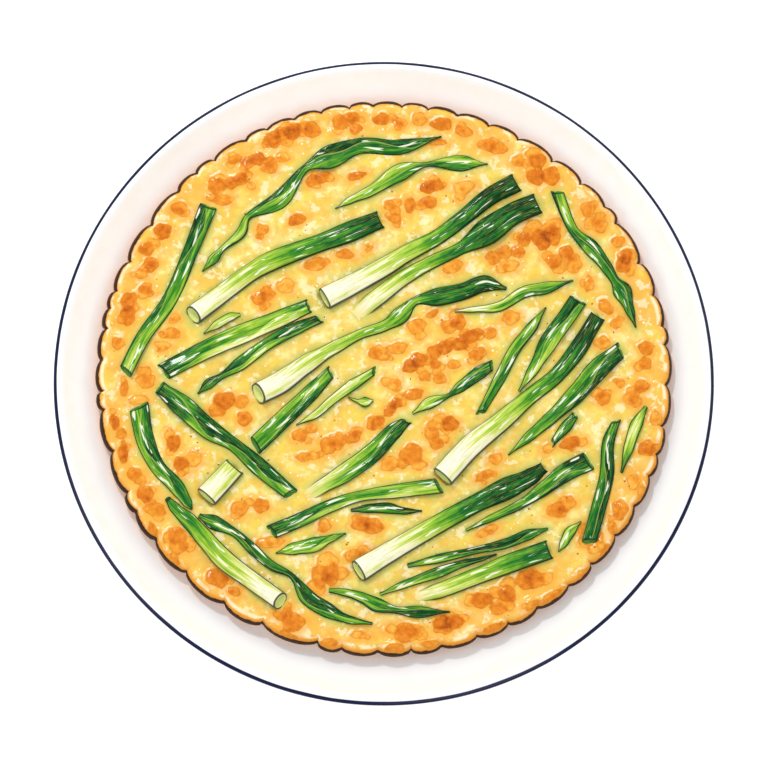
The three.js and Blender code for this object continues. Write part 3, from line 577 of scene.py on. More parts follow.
# %% Blister domes: how far inside a blister's edge each point is, how brown and how high
stain_floor = -3.0
stain = np.full(len(disc_x), stain_floor)
unbrowned = np.ones(len(disc_x))
blister_rise = np.zeros(len(disc_x))
far_side = np.zeros(len(disc_x))
for x, y, half_long, half_wide, spin, tone, height in blisters:
    reach = half_long - stain_floor
    near = np.flatnonzero((np.abs(disc_x - x) < reach) & (np.abs(disc_y - y) < reach))
    away_x, away_y = disc_x[near] - x, disc_y[near] - y
    u = (away_x * math.cos(spin) + away_y * math.sin(spin)) / half_long
    v = (away_y * math.cos(spin) - away_x * math.sin(spin)) / half_wide
    bearing = np.arctan2(v, u)
    wobble = 1 + 0.07 * np.sin(3 * bearing + x) + 0.05 * np.sin(5 * bearing + y)
    inside = (1 - np.hypot(u, v) / wobble) * min(half_long, half_wide)
    blister_rise[near] = np.maximum(blister_rise[near], height * smoothstep(inside / 1.1))
    unbrowned[near] *= 1 - tone * smoothstep((inside + 0.1) / 0.5)
    wins = inside > stain[near]
    stain[near[wins]] = inside[wins]
    far_side[near[wins]] = ((0.85 * away_y - 0.5 * away_x) / (np.hypot(away_x, away_y) + 0.1))[wins]
brown = 1 - unbrowned
print("share of the top that is browned:", round(float((stain[on_top] > 0).mean()), 3))


# %% Noise for the crust's small lumps
def lumps(xs, ys, scale, seed):
    return np.array([noise.noise((x / scale, y / scale, seed)) for x, y in zip(xs, ys)])


def swells(xs, ys):
    """The broad swells of the crust, which the scallions follow too."""
    return 0.4 * lumps(xs, ys, 14.0, 1.5)


broad_lumps = swells(disc_x, disc_y)
small_lumps = lumps(disc_x, disc_y, 3.2, 7.5)
fine_lumps = lumps(disc_x, disc_y, 1.3, 3.5)
print("lumps from", broad_lumps.min().round(2), "to", broad_lumps.max().round(2))

# %% Heights of the crust
stem_bed = 1.9
leaf_bed = 0.8
bed_start = -0.3
bed_slope = 1.5
hug_height = 0.24
collar_height = 0.16
lip_height = 0.5
groove_depth = 0.25
clear = smoothstep(piece_gap / 2.2)
collar = collar_height * mound(stain + 0.7, 0.5)
stem_beds = stem_bed * smoothstep((bed_start - stem_gap) / bed_slope)
leaf_beds = leaf_bed * smoothstep((bed_start - leaf_gap) / bed_slope)
beds = np.maximum(stem_beds, leaf_beds)
hug = hug_height * mound(np.maximum(piece_gap, 0), 1.6)
lip = lip_height * mound(insets - 4.4, 2.2) - groove_depth * mound(insets - 9.2, 2.8)
puff = 0.9 * (arch - 0.62) * np.clip(1 - insets / 9.0, 0, 1)
relief = (
    (blister_rise + collar) * clear + hug + broad_lumps + 0.34 * small_lumps * clear
    + 0.12 * fine_lumps * clear - beds
)
weight = np.where(on_top, 1.0, smoothstep((levels - edge_waist) / (edge_top - edge_waist)))
disc_z = levels + weight * (lip + puff + relief)
disc_z += np.where(on_top, 0, 0.35 * small_lumps * smoothstep(levels / 2.0) * (1 - weight))
print("crust between", disc_z[on_top].min().round(2), "and", disc_z.max().round(2), "mm above the well")


# %% How far in the edge is crisp: the far side of the pan was the hottest
crisp_near = 1.0
crisp_far = 2.2
crisp_foot_near = 3.4
crisp_foot_far = 6.3
crisp_fade = 1.1
far = smoothstep(0.5 + 0.5 * np.cos(bearings + 0.35))
crisp_width = mix(crisp_near, crisp_far, far)
below_foot = np.maximum(mix(crisp_foot_near, crisp_foot_far, far) - levels, 0)
print("crisp edge", crisp_width.min().round(2), "to", crisp_width.max().round(2), "mm wide")


# %% Join the rings into one closed mesh
def join_rings(sizes):
    faces = []
    starts = np.concatenate([[0], np.cumsum(sizes)])
    for ring in range(len(sizes) - 1):
        outer, inner = sizes[ring], sizes[ring + 1]
        a, b = int(starts[ring]), int(starts[ring + 1])
        ratio = outer // inner
        for i in range(inner):
            j = (i + 1) % inner
            if ratio == 1:
                faces.append((a + i, b + i, b + j, a + j))
            else:
                faces.append((a + 2 * i, b + i, a + 2 * i + 1))
                faces.append((a + 2 * i + 1, b + i, b + j, a + (2 * i + 2) % outer))
    last = int(starts[-2])
    faces.append(tuple(last + i for i in reversed(range(sizes[-1]))))
    faces.append(tuple(range(sizes[0])))
    return faces


sizes = [n for n, *_ in rings]
disc_points = np.column_stack([disc_x, disc_y, disc_z + batter_floor])
pancake = mesh_object("fried_batter", disc_points, join_rings(sizes))
store(pancake, "stain", stain)
store(pancake, "brown", brown)
store(pancake, "far_side", far_side)
store(pancake, "gap", piece_gap)
store(pancake, "inset", np.where(on_top | (levels > edge_waist), insets, 0))
store(pancake, "level", levels)
store(pancake, "crisp", crisp_width - np.where(levels > edge_waist, insets, 0))
store(pancake, "above_foot", np.clip(1 - below_foot / crisp_fade, 0, 1))
volume = face_outwards(pancake.data)
print("batter:", len(pancake.data.polygons), "faces,", round(volume / 1000), "ml")

# %% [markdown]
# ## The scallions
# A scallion stem is a tube of layers, and its leaves are hollow blades that collapse into folded strips in
# the pan. Both follow a route and keep one kind of cross-section whose width and height change along it, so
# one Geometry Nodes tree makes them all. A thread of points carries the measures of a piece. The tree sweeps
# a ring along it, then puts every point where those measures say. A bevelled curve would make a plain tube,
# but could not flatten, crease or rib it.

# %% The sums of the tree: across and upper say where on its ring a point is, from -1 to 1
ring_steps = (
    ("turn", "MULTIPLY", "share round", 2 * math.pi),
    ("across", "COSINE", "turn"),
    ("upper", "SINE", "turn"),
)
shape_steps = (
    # Ribs run along a tube and swell it.
    ("rib wave", "MULTIPLY", "turn", "Ribs"),
    ("rib wave", "COSINE", "rib wave"),
    ("swell", "MULTIPLY", "rib wave", "Rib Depth", "tube"),
    ("swell", "ADD", "swell", 1.0),
    ("wide", "MULTIPLY", "across", "half", "swell"),
    ("body", "MULTIPLY", "upper", "swell"),
    ("body", "ADD", "body", 1.0),
    ("half rise", "MULTIPLY", "rise", 0.5),
    ("body", "MULTIPLY", "body", "half rise"),
    # A crease runs along the upper side of a leaf, at its ridge.
    ("flat", "SUBTRACT", 1.0, "tube"),
    ("off ridge", "SUBTRACT", "across", "ridge"),
    ("notch", "MULTIPLY", "off ridge", "off ridge", -30.0),
    ("notch", "EXPONENT", "notch"),
    ("on top", "MAXIMUM", "upper", 0.0),
    ("shallow", "MULTIPLY", "half", 0.3),
    ("shallow", "MINIMUM", "shallow", 1.0),
    ("crease", "MULTIPLY", "notch", "on top", "Crease", "flat", "shallow"),
    # The sides of a leaf wave up and down, a tube's hardly.
    ("ripple", "SUBTRACT", "wave noise", 0.45),
    ("far across", "MULTIPLY", "across", "across"),
    ("sway", "MULTIPLY", "half", 0.55),
    ("limp", "MULTIPLY", "tube", 0.75),
    ("limp", "SUBTRACT", 1.0, "limp"),
    ("ripple", "MULTIPLY", "ripple", "Wave", "far across", "sway", "limp"),
    ("raised", "ABSOLUTE", "off ridge"),
    ("raised", "MULTIPLY", "raised", "half", "fold"),
    ("raised", "ADD", "ripple", "raised"),
    ("height", "SUBTRACT", "body", "crease"),
    ("height", "ADD", "height", "raised"),
    # Near a cut the upper half of a ring is moved back, and one side before the other.
    ("half upper", "MULTIPLY", "upper", 0.5),
    ("cut", "MULTIPLY", "slant", "half upper"),
    ("aside", "MULTIPLY", "skew", "across"),
    ("cut", "ADD", "cut", "aside"),
)
print(len(ring_steps) + len(shape_steps), "steps")

# %% The tree that turns a thread into a scallion
merge_distance = 0.005
oil_film = 1.47


def scallion_tree(material):
    tree = bpy.data.node_groups.new("scallion from a thread", "GeometryNodeTree")
    tree.interface.new_socket("Geometry", in_out="INPUT", socket_type="NodeSocketGeometry")
    points_round = tree.interface.new_socket("Points Round", in_out="INPUT", socket_type="NodeSocketInt")
    points_round.default_value = 40
    for name, default in (
        ("Ribs", 9.0), ("Rib Depth", 0.022), ("Crease", 0.5),
        ("Wave", 0.55), ("Wave Length", 7.0), ("Seed", 0.0),
    ):
        tree.interface.new_socket(name, in_out="INPUT", socket_type="NodeSocketFloat").default_value = default
    tree.interface.new_socket("Geometry", in_out="OUTPUT", socket_type="NodeSocketGeometry")
    given = add_node(tree, "NodeGroupInput").node.outputs
    values = {name: given[name] for name in ("Ribs", "Rib Depth", "Crease", "Wave", "Seed")}

    inputs = {"Resolution": given["Points Round"], "Radius": 1.0}
    ring = add_node(tree, "GeometryNodeCurvePrimitiveCircle", inputs, mode="RADIUS")
    values["share round"] = add_node(tree, "GeometryNodeSplineParameter", output="Factor")
    work_out(tree, values, ring_steps)
    for name in ("turn", "across", "upper"):
        inputs = {"Geometry": ring, "Name": name, "Value": values[name]}
        ring = add_node(tree, "GeometryNodeStoreNamedAttribute", inputs, data_type="FLOAT", domain="POINT")
    thread = add_node(tree, "GeometryNodeMeshToCurve", {"Mesh": given["Geometry"]})
    skin = add_node(tree, "GeometryNodeCurveToMesh", {"Curve": thread, "Profile Curve": ring})

    for kind, names in (
        ("FLOAT", ("turn", "across", "upper", "tube", "half", "rise", "along")),
        ("FLOAT", ("ridge", "fold", "slant", "skew")),
        ("FLOAT_VECTOR", ("middle", "side", "ahead")),
    ):
        for name in names:
            values[name] = add_node(tree, "GeometryNodeInputNamedAttribute", {"Name": name}, data_type=kind)
    waves_on = add_node(tree, "ShaderNodeMath", (values["along"], given["Wave Length"]), operation="DIVIDE")
    where = add_node(tree, "ShaderNodeCombineXYZ", (waves_on, values["across"], given["Seed"]))
    inputs = {"Vector": where, "Scale": 1.0, "Detail": 1.0}
    values["wave noise"] = add_node(tree, "ShaderNodeTexNoise", inputs)
    work_out(tree, values, shape_steps)

    moves = [
        add_node(tree, "ShaderNodeVectorMath", {0: values[way], "Scale": values[amount]}, operation="SCALE")
        for way, amount in (("side", "wide"), ("ahead", "cut"))
    ]
    upwards = add_node(tree, "ShaderNodeCombineXYZ", {2: values["height"]})
    level = add_node(tree, "ShaderNodeVectorMath", (values["middle"], moves[0]), operation="ADD")
    off_level = add_node(tree, "ShaderNodeVectorMath", (moves[1], upwards), operation="ADD")
    place = add_node(tree, "ShaderNodeVectorMath", (level, off_level), operation="ADD")
    place = add_node(tree, "ShaderNodeVectorMath", {0: place, "Scale": MM}, operation="SCALE")
    for kind, inputs in (
        ("GeometryNodeSetPosition", {"Position": place}),
        ("GeometryNodeMergeByDistance", {"Distance": merge_distance * MM}),
        ("GeometryNodeRealizeInstances", {}),
        ("GeometryNodeSetMaterial", {"Material": material}),
    ):
        skin = add_node(tree, kind, {"Geometry": skin, **inputs})
    add_node(tree, "NodeGroupOutput", (skin,))
    return tree


scallion_skin, skin_tree, skin_shader = new_material("fried scallion skin", {
    "Roughness": 0.45, "IOR": 1.42, "Specular IOR Level": 0.08,
    "Coat Weight": 0.18, "Coat Roughness": 0.07, "Coat IOR": oil_film,
    "Subsurface Weight": 0.05, "Subsurface Radius": (0.002, 0.003, 0.001), "Subsurface Scale": 0.5,
})
thread_tree = scallion_tree(scallion_skin)
print(len(thread_tree.nodes), "nodes in the scallion tree")

# %% [markdown]
# The cook cuts scallions on the slant, so the mouth of a cut stem faces up a little and shows its hollow. The
# upper half of each ring is moved back near a cut end, by less than the rings are apart. Extra stations close
# the piece: the ring steps inwards by the thickness of the wall, goes a little way in and shrinks to a point.
# A torn end just shrinks to a point.

# %% Sizes of stems and leaves
stem_roundness = 0.58
thinnest_stem = 1.4
stem_rest = 0.6
stem_show = 1.6
mouth_lift = 0.6
mouth_lift_reach = 14.0
leaf_thickness = 1.9
leaf_show = 0.85
tip_reach = 7.0
thinnest_tip = 0.3
fold_depth = 0.16
fold_length = 9.0
ridge_wander = 1.5
ridge_limit = 0.62
sway_height = 0.15
covered_squash = 0.6
covered_sink = 1.4
cut_from = 1.2
mouth_slants = (3.2, 1.0, 1.0, 3.4, 1.0, 3.2, 1.8, 1.0, 1.0)
end_slant = 1.4
end_skew = 1.3
hollow_depth = 2.6
slit_depth = 1.2
hollow_share = 0.76
hollow_narrows = 0.94
torn_tip = 0.25
# Which half of each leaf is painted lighter, as painted light: 1 is right of its route and -1 left, at equal
# steps along it
painted_lit_sides = {
    1: (-1,), 2: (-1, -1, -1, -1, -1, 1, 1), 4: (-1, -1, 1, 1, 1), 5: (-1,), 7: (-1,), 10: (-1, 1, 1),
    12: (1, 1, -1, 1, 1, 1), 19: (-1, 1, 1, 1), 29: (-1,),
}
print("mouths cut on slants of", min(mouth_slants), "to", max(mouth_slants), "mm")


# %% Measures along a thread
def tone_run(tones, share):
    """Values read at equal steps along a piece, at each of its stations."""
    return np.interp(share, np.linspace(0, 1, len(tones)), tones)


def wandering(along, length, row, seed):
    """A value that wanders slowly along a piece."""
    return np.array([noise.noise((a / length, row, seed)) for a in along])


def piece_measures(route, tones, tube, seed):
    along, half, cover = route["along"], route["half"], route["cover"]
    count = len(half)
    share = along / along[-1]
    rows = {name: route[name].copy() for name in ("middle", "side", "ahead", "half", "along", "cover")}
    for name in ("fold", "ridge", "inside", "rim", "slant", "skew"):
        rows[name] = np.zeros(count)
    rows["tone"] = tone_run(tones, share)
    rows["tube"] = np.full(count, float(tube))
    if tube:
        rows["flip"] = np.ones(count)
        rows["rise"] = np.maximum(2 * half * stem_roundness, thinnest_stem) * (1 - covered_squash * cover)
        lift = edge_top + np.maximum(stem_rest - stem_bed, stem_show - rows["rise"])
        lift += mouth_lift * smoothstep(1 - along / mouth_lift_reach) * route["mouth"]
    else:
        rows["flip"] = tone_run(painted_lit_sides.get(seed + 1, (1,)), share)
        tip = np.sqrt(np.clip(np.minimum(along, along[-1] - along) / tip_reach, 0, 1))
        blunt = np.where(share < 0.5, half[0], half[-1]) > cut_from
        rows["rise"] = leaf_thickness * np.where(blunt, 1.0, np.maximum(tip, thinnest_tip))
        lift = edge_top + leaf_show - rows["rise"] / 2
        rows["fold"] = fold_depth * np.sin(along / fold_length + seed * 2.1)
        ridge = ridge_wander * wandering(along, 19.0, seed * 5.3, 8.5)
        rows["ridge"] = np.clip(ridge, -ridge_limit, ridge_limit)
    ground = swells(route["middle"][:, 0], route["middle"][:, 1])
    sway = sway_height * wandering(along, 16.0, seed * 3.7, 0.5)
    rows["lift"] = batter_floor + lift + ground + sway - covered_sink * cover
    for end, inwards in ((0, 1.0), (-1, -1.0)):
        if half[end] < cut_from:
            continue
        depth = mouth_slants[seed] if tube and end == 0 else end_slant
        away = along if end == 0 else along[-1] - along
        fade = np.clip(1 - away / (3 * depth), 0, 1) ** 2
        rows["rim"][end] = 1 - cover[end]
        rows["slant"] += inwards * depth * fade
        rows["skew"] += (0.0 if tube else end_skew * math.sin(seed * 7.7 + end)) * fade
    return rows


# %% Stations that close the ends
def end_stations(rows, index, inwards):
    """Extra stations that close an end, from the outermost ring inwards."""
    hollow = hollow_depth if rows["tube"][index] > 0.5 else slit_depth
    steps = [(0.0, -torn_tip, 0.0)]
    if rows["half"][index] > cut_from:
        steps = [(hollow_share, 0.0, 1.0), (hollow_share * hollow_narrows, hollow, 1.0), (0.0, hollow, 1.0)]
    made = []
    for share, depth, inside in steps:
        station = {name: values[index] for name, values in rows.items()}
        station["lift"] = station["lift"] + station["rise"] * (1 - share) / 2
        station["middle"] = station["middle"] + station["ahead"] * inwards * depth
        for name in ("half", "rise", "slant", "skew"):
            station[name] = station[name] * share
        station["inside"] = inside
        station["rim"] = 0.0
        made.append(station)
    return made


def with_ends(rows):
    first = end_stations(rows, 0, 1.0)[::-1]
    last = end_stations(rows, -1, -1.0)
    return {
        name: np.concatenate([[s[name] for s in first], values, [s[name] for s in last]])
        for name, values in rows.items()
    }


print("a cut stem's hollow is", hollow_depth, "mm deep")


# %% Make every stem and leaf
def make_scallion(name, rows, seed):
    """Makes one piece from its thread and returns it as a plain mesh at the origin."""
    count = len(rows["half"])
    mesh = bpy.data.meshes.new(name + "_thread")
    mesh.from_pydata([(float(i), 0.0, 0.0) for i in range(count)], [(i, i + 1) for i in range(count - 1)], [])
    thread = bpy.data.objects.new(name + "_thread", mesh)
    scene.collection.objects.link(thread)
    store_vectors(thread, "middle", np.column_stack([rows["middle"], rows["lift"]]))
    for key in ("side", "ahead"):
        store_vectors(thread, key, np.column_stack([rows[key], np.zeros(count)]))
    for key in (
        "half", "rise", "along", "tone", "flip", "fold", "ridge", "slant", "skew",
        "tube", "inside", "cover", "rim",
    ):
        store(thread, key, rows[key])
    modifier = thread.modifiers.new("sweep", "NODES")
    modifier.node_group = thread_tree
    for socket in thread_tree.interface.items_tree:
        if socket.name == "Seed":
            modifier[socket.identifier] = seed
    skin = take_mesh(thread, modifier, True)
    skin.name = name
    piece = smooth_object(name, skin)
    skin.set_sharp_from_angle(angle=math.radians(50))
    face_outwards(skin)
    return piece


scallions = {}
for kind, tube, pieces, routes, first_seed in (
    ("stem", True, stems, stem_routes, 0.5), ("leaf", False, leaves, leaf_routes, 20.5),
):
    for i, ((_, tones), route) in enumerate(zip(pieces, routes)):
        name = f"{kind}_{i + 1:02d}"
        measures = with_ends(piece_measures(route, tones, tube, i))
        scallions[name] = make_scallion("scallion_" + name, measures, i + first_seed)
print(len(scallions), "scallion pieces,", sum(len(p.data.polygons) for p in scallions.values()), "faces")

# %% [markdown]
# ## The plate
# A coupe plate is thrown or pressed round, so its true form is one profile turned about the upright axis. The
# solid holds the same profile with 64 sides. Here it is turned with 256, so the glaze reflects smoothly.

# %% Plate profile and lathe
well_radius = 110.0
well_height = 6.0
wall_curve = 1.55
wall_thickness = 3.4
lip_radius = 1.3
lip_width = 3.4
lip_fall = 2.0
foot_radius = 82.0
foot_width = 5.0
foot_height = 2.5
hub_radius = 20.0
plate_sides = 256
plate_radius = plate_high.x
plate_top = plate_high.z
wall_end = plate_radius - lip_radius


def wall_top(radius):
    climb = np.clip((radius - well_radius) / (plate_radius - lip_width - well_radius), 0, None)
    return well_height + (plate_top - well_height) * climb**wall_curve


def plate_profile():
    crest = plate_radius - lip_width
    inner_radii = np.concatenate([np.linspace(hub_radius, well_radius, 8), np.linspace(112, crest, 14)])
    inner = [(r, wall_top(r)) for r in inner_radii]
    crest_height = wall_top(crest)
    turns = np.radians(np.linspace(90, 0, 9)[1:])
    lip = [(crest + lip_width * math.cos(t), crest_height - lip_fall * (1 - math.sin(t))) for t in turns]
    outer_radii = np.linspace(wall_end, foot_radius + 2.4, 18)
    outer = [(r, max(foot_height, wall_top(r) - wall_thickness)) for r in outer_radii]
    foot_inside = foot_radius - foot_width
    foot = [
        (foot_radius + 1.0, foot_height - 0.35), (foot_radius + 0.5, 0.5), (foot_radius, 0.0),
        (foot_inside, 0.0), (foot_inside - 0.5, 0.5), (foot_inside - 1.0, foot_height - 0.35),
        (foot_inside - 2.4, foot_height), (hub_radius, foot_height),
    ]
    return inner + lip + outer + foot


def lathe(name, profile, sides):
    turns = np.arange(sides) * 2 * math.pi / sides
    points = [(r * math.cos(t), r * math.sin(t), z) for r, z in profile for t in turns]
    faces = []
    for row in range(len(profile) - 1):
        for i in range(sides):
            j = (i + 1) % sides
            near, far = row * sides, (row + 1) * sides
            faces.append((near + i, near + j, far + j, far + i))
    last = (len(profile) - 1) * sides
    faces.append(tuple(reversed(range(sides))))
    faces.append(tuple(last + i for i in range(sides)))
    return mesh_object(name, points, faces)


plate = lathe("stoneware_plate", plate_profile(), plate_sides)
volume = face_outwards(plate.data)
plate.data.set_sharp_from_angle(angle=math.radians(45))
print("plate:", len(plate.data.polygons), "faces,", round(volume / 1000), "ml of stoneware")

# %% [markdown]
# ## Finishes
# The batter is wheat and egg fried in oil: pale yellow where it stayed soft, orange to brown where it
# blistered, with a thin film of oil over all of it. The film is a clear coat, smoother than the crumb below.
# The colour is built up as the pan did it: one wash over another, each where its own masks let it through.

# %% Patterns and washes
def grain(tree, size, detail=3.0, rough=0.55, aside=0.0):
    """Noise whose lumps are about size millimetres across. Two of one size agree unless one is aside."""
    place = add_node(tree, "ShaderNodeTexCoord", output="Object")
    place = add_node(tree, "ShaderNodeVectorMath", (place, (aside, -aside, 0.0)), operation="ADD")
    inputs = {"Vector": place, "Scale": 1 / (size * MM), "Detail": detail, "Roughness": rough}
    return add_node(tree, "ShaderNodeTexNoise", inputs)


def fray(tree, values, name, pattern, spread):
    """Pushes a value up and down by a pattern, so that a limit drawn on it comes out ragged."""
    steps = (("push", "MULTIPLY_ADD", pattern, spread, -spread / 2), ("frayed", "ADD", name, "push"))
    return work_out(tree, values, steps)


def paint(tree, values, colour, washes):
    """Lays washes over a colour. A wash has a shade, a strength and masks, each the name of a value and the
    limits between which the wash comes on."""
    for _, shade, strength, *masks in washes:
        factor = strength
        for name, *limits in masks:
            mask = work_out(tree, values, [("mask", "SMOOTH", name, *limits)]) if limits else values[name]
            factor = add_node(tree, "ShaderNodeMath", (mask, factor), operation="MULTIPLY")
        shade = linear(shade) if isinstance(shade, str) else shade
        colour = add_node(tree, "ShaderNodeMix", {0: factor, 6: colour, 7: shade}, 2, data_type="RGBA")
    return colour


def shade_ramp(tree, value, shades):
    """Shades that follow one another as a value goes from 0 to 1."""
    ramp = add_node(tree, "ShaderNodeValToRGB", (value,))
    stops = ramp.node.color_ramp.elements
    first, *between, last = shades
    for stop, (position, shade) in zip(stops, (first, last)):
        stop.position = position
        stop.color = linear(shade)
    for position, shade in between:
        stops.new(position).color = linear(shade)
    return ramp


fried, tree, shader = new_material("fried wheat batter", {
    "Roughness": 0.6, "IOR": 1.45, "Specular IOR Level": 0.1,
    "Coat Weight": 0.15, "Coat Roughness": 0.1, "Coat IOR": oil_film,
    "Subsurface Weight": 0.08, "Subsurface Radius": (0.003, 0.0015, 0.0006), "Subsurface Scale": 0.5,
})
batter = {
    name: add_node(tree, "ShaderNodeAttribute", output="Fac", attribute_name=name)
    for name in ("gap", "inset", "stain", "brown", "far_side", "level", "crisp", "above_foot")
}
for name, size, detail, aside in (
    ("12 mm", 12.0, 3.0, 0.0), ("10 mm", 10.0, 3.0, 0.0), ("9 mm", 9.0, 3.0, 0.0), ("8 mm", 8.0, 5.0, 0.1),
    ("6 mm", 6.0, 3.0, 0.0), ("5.5 mm", 5.5, 4.0, 0.3), ("5 mm", 5.0, 3.0, 0.4), ("4.5 mm", 4.5, 5.0, 0.2),
    ("4 mm", 4.0, 3.0, 0.0), ("2.6 mm", 2.6, 3.0, 0.0), ("2 mm", 2.0, 4.0, 0.0), ("1.1 mm", 1.1, 4.0, 0.0),
    ("0.45 mm", 0.45, 2.0, 0.0),
):
    batter[name] = grain(tree, size, detail, aside=aside)
batter["2.4 mm"] = grain(tree, 2.4, 4.0, rough=0.6)
print(len(batter), "measures and patterns")

# %% Soft batter, and the rolled edge: inset is how far in from the edge a point is, in millimetres
colour = paint(tree, batter, linear("#F3E48F"), (
    ("mottle", "#EDCF60", 1.0, ("9 mm", 0.42, 0.58)),
    ("fine mottle", "#E8B94A", 0.45, ("2.6 mm", 0.4, 0.62)),
    ("egg yellow", "#EFD150", 0.5, ("5.5 mm", 0.53, 0.57)),
    ("amber", "#EDB045", 0.35, ("8 mm", 0.5, 0.55)),
    # Painted shade: an olive shade is painted on the batter close beside every scallion, on both sides.
    ("painted olive shade beside the scallions", "#C3C465", 0.75, ("gap", 3.4, 0.2), ("12 mm", 0.38, 0.52)),
    ("golden rim", "#F2AE45", 0.7, ("inset", 24.0, 7.0), ("10 mm", 0.38, 0.58)),
    # Pale spots of thin batter, which also stand for glints of oil as painted highlights.
    ("pale spots and painted glints", "#FDEDC0", 0.65, ("4.5 mm", 0.575, 0.605)),
    ("outermost", "#F6AC40", 0.7, ("inset", 4.6, 1.6)),
    ("light on the roll", "#FFF0C6", 0.85, ("inset", 1.9, 2.5), ("inset", 4.2, 3.2), ("6 mm", 0.46, 0.53)),
))
print("soft batter:", len(tree.nodes), "nodes")

# %% Blisters: stain is how far inside a blister's edge a point is, in millimetres
work_out(tree, batter, [("bare", "SMOOTH", "gap", -0.4, 0.6)])
batter["ragged"] = fray(tree, batter, "stain", "2.4 mm", 1.6)
batter["warm reach"] = fray(tree, batter, "stain", "6 mm", 3.0)
browned = shade_ramp(tree, fray(tree, batter, "brown", "2 mm", 1.0), (
    (0.05, "#F9B84C"), (0.25, "#EFA236"), (0.45, "#E48C25"), (0.65, "#D87818"), (0.85, "#C4640E"),
    (1.0, "#A04A0A"),
))
colour = paint(tree, batter, colour, (
    ("halo", "#EFA93F", 0.68, ("warm reach", -2.5, -0.2), ("bare",)),
    ("light on the far side", "#FFF2CC", 0.7, ("ragged", -1.1, -0.75), ("ragged", -0.1, -0.4),
     ("far_side", 0.1, 0.7), ("bare",), ("5 mm", 0.48, 0.56)),
    ("blister", browned, 1.0, ("ragged", -0.12, 0.16), ("bare",)),
    ("seam round it", "#BE6614", 0.4, ("ragged", -0.1, 0.2), ("ragged", 0.8, 0.35), ("bare",)),
))
print("with blisters:", len(tree.nodes), "nodes")

# %% The wall of the batter, its crisp edge and the crumb
batter["crisp reach"] = fray(tree, batter, "crisp", "4 mm", 1.4)
colour = paint(tree, batter, colour, (
    ("toasted wall", "#D88A20", 0.85, ("level", 8.3, 7.0)),
    ("golden border", "#E08A28", 0.45, ("crisp reach", -1.0, 0.0)),
    ("singed", "#1A0A04", 0.97, ("crisp reach", -0.1, 0.2), ("above_foot",)),
))
tree.links.new(colour, shader.inputs["Base Color"])
crumb = work_out(tree, batter, (
    ("crumb", "MULTIPLY", "1.1 mm", 0.6),
    ("fine crumb", "MULTIPLY", "0.45 mm", 0.25),
    ("crumb", "ADD", "crumb", "fine crumb"),
))
bump = add_node(tree, "ShaderNodeBump", {"Height": crumb, "Strength": 0.45, "Distance": 0.35 * MM})
tree.links.new(bump, shader.inputs["Normal"])
pancake.data.materials.append(fried)
print("fried batter:", len(tree.nodes), "nodes")

# %% [markdown]
# Small bubbles of batter stay pale where they dry before they brown, and they also stand for small glints of
# oil, as painted highlights. Crumbs from earlier pancakes in the same oil settle on top. Hundreds of them lie
# at random, so a Geometry Nodes tree scatters them on the crust, away from the scallions and the edge, and
# leans each one with the surface.

# %% The tree that scatters small pieces on the crust
bead_segments = 8
bead_rings = 5
crowd_size = 12.0


def scatter_tree(name, material):
    tree = bpy.data.node_groups.new(name, "GeometryNodeTree")
    tree.interface.new_socket("Geometry", in_out="INPUT", socket_type="NodeSocketGeometry")
    for label in ("Per Square Metre", "Smallest", "Largest", "Height", "Clear Of Scallions", "Clear Of Edge",
                  "Clear Of Blisters"):
        tree.interface.new_socket(label, in_out="INPUT", socket_type="NodeSocketFloat")
    tree.interface.new_socket("Seed", in_out="INPUT", socket_type="NodeSocketInt")
    tree.interface.new_socket("Geometry", in_out="OUTPUT", socket_type="NodeSocketGeometry")
    given = add_node(tree, "NodeGroupInput").node.outputs
    values = {socket.name: socket for socket in given if socket.type == "VALUE"}
    for label in ("stain", "gap", "inset"):
        values[label] = add_node(tree, "GeometryNodeInputNamedAttribute", {"Name": label}, data_type="FLOAT")
    where = add_node(tree, "GeometryNodeInputPosition")
    values["crowd"] = add_node(tree, "ShaderNodeTexNoise", {"Vector": where, "Scale": 1 / (crowd_size * MM)})
    density = work_out(tree, values, (
        ("crowd", "SMOOTH", "crowd", 0.38, 0.62),
        ("off scallions", "GREATER_THAN", "gap", "Clear Of Scallions"),
        ("off the edge", "GREATER_THAN", "inset", "Clear Of Edge"),
        ("off blisters", "MULTIPLY", "stain", -1.0),
        ("off blisters", "GREATER_THAN", "off blisters", "Clear Of Blisters"),
        ("allowed", "MULTIPLY", "off scallions", "off the edge", "off blisters"),
        ("density", "MULTIPLY", "Per Square Metre", "crowd", "allowed"),
    ))
    inputs = {"Mesh": given["Geometry"], "Density": density, "Seed": given["Seed"]}
    spots = add_node(tree, "GeometryNodeDistributePointsOnFaces", inputs).node.outputs
    inputs = {"Segments": bead_segments, "Rings": bead_rings, "Radius": 1.0}
    bead = add_node(tree, "GeometryNodeMeshUVSphere", inputs)
    for label, chance in (("long", 3), ("wide", 4)):
        inputs = {2: given["Smallest"], 3: given["Largest"], "Seed": chance}
        values[label] = add_node(tree, "FunctionNodeRandomValue", inputs, 1, data_type="FLOAT")
    tall = work_out(tree, values, [("tall", "MULTIPLY", "wide", "Height")])
    size = add_node(tree, "ShaderNodeCombineXYZ", (values["long"], values["wide"], tall))
    inputs = {"Points": spots["Points"], "Instance": bead, "Rotation": spots["Rotation"], "Scale": size}
    placed = add_node(tree, "GeometryNodeInstanceOnPoints", inputs)
    placed = add_node(tree, "GeometryNodeRealizeInstances", {"Geometry": placed})
    placed = add_node(tree, "GeometryNodeSetMaterial", {"Geometry": placed, "Material": material})
    add_node(tree, "NodeGroupOutput", (placed,))
    return tree


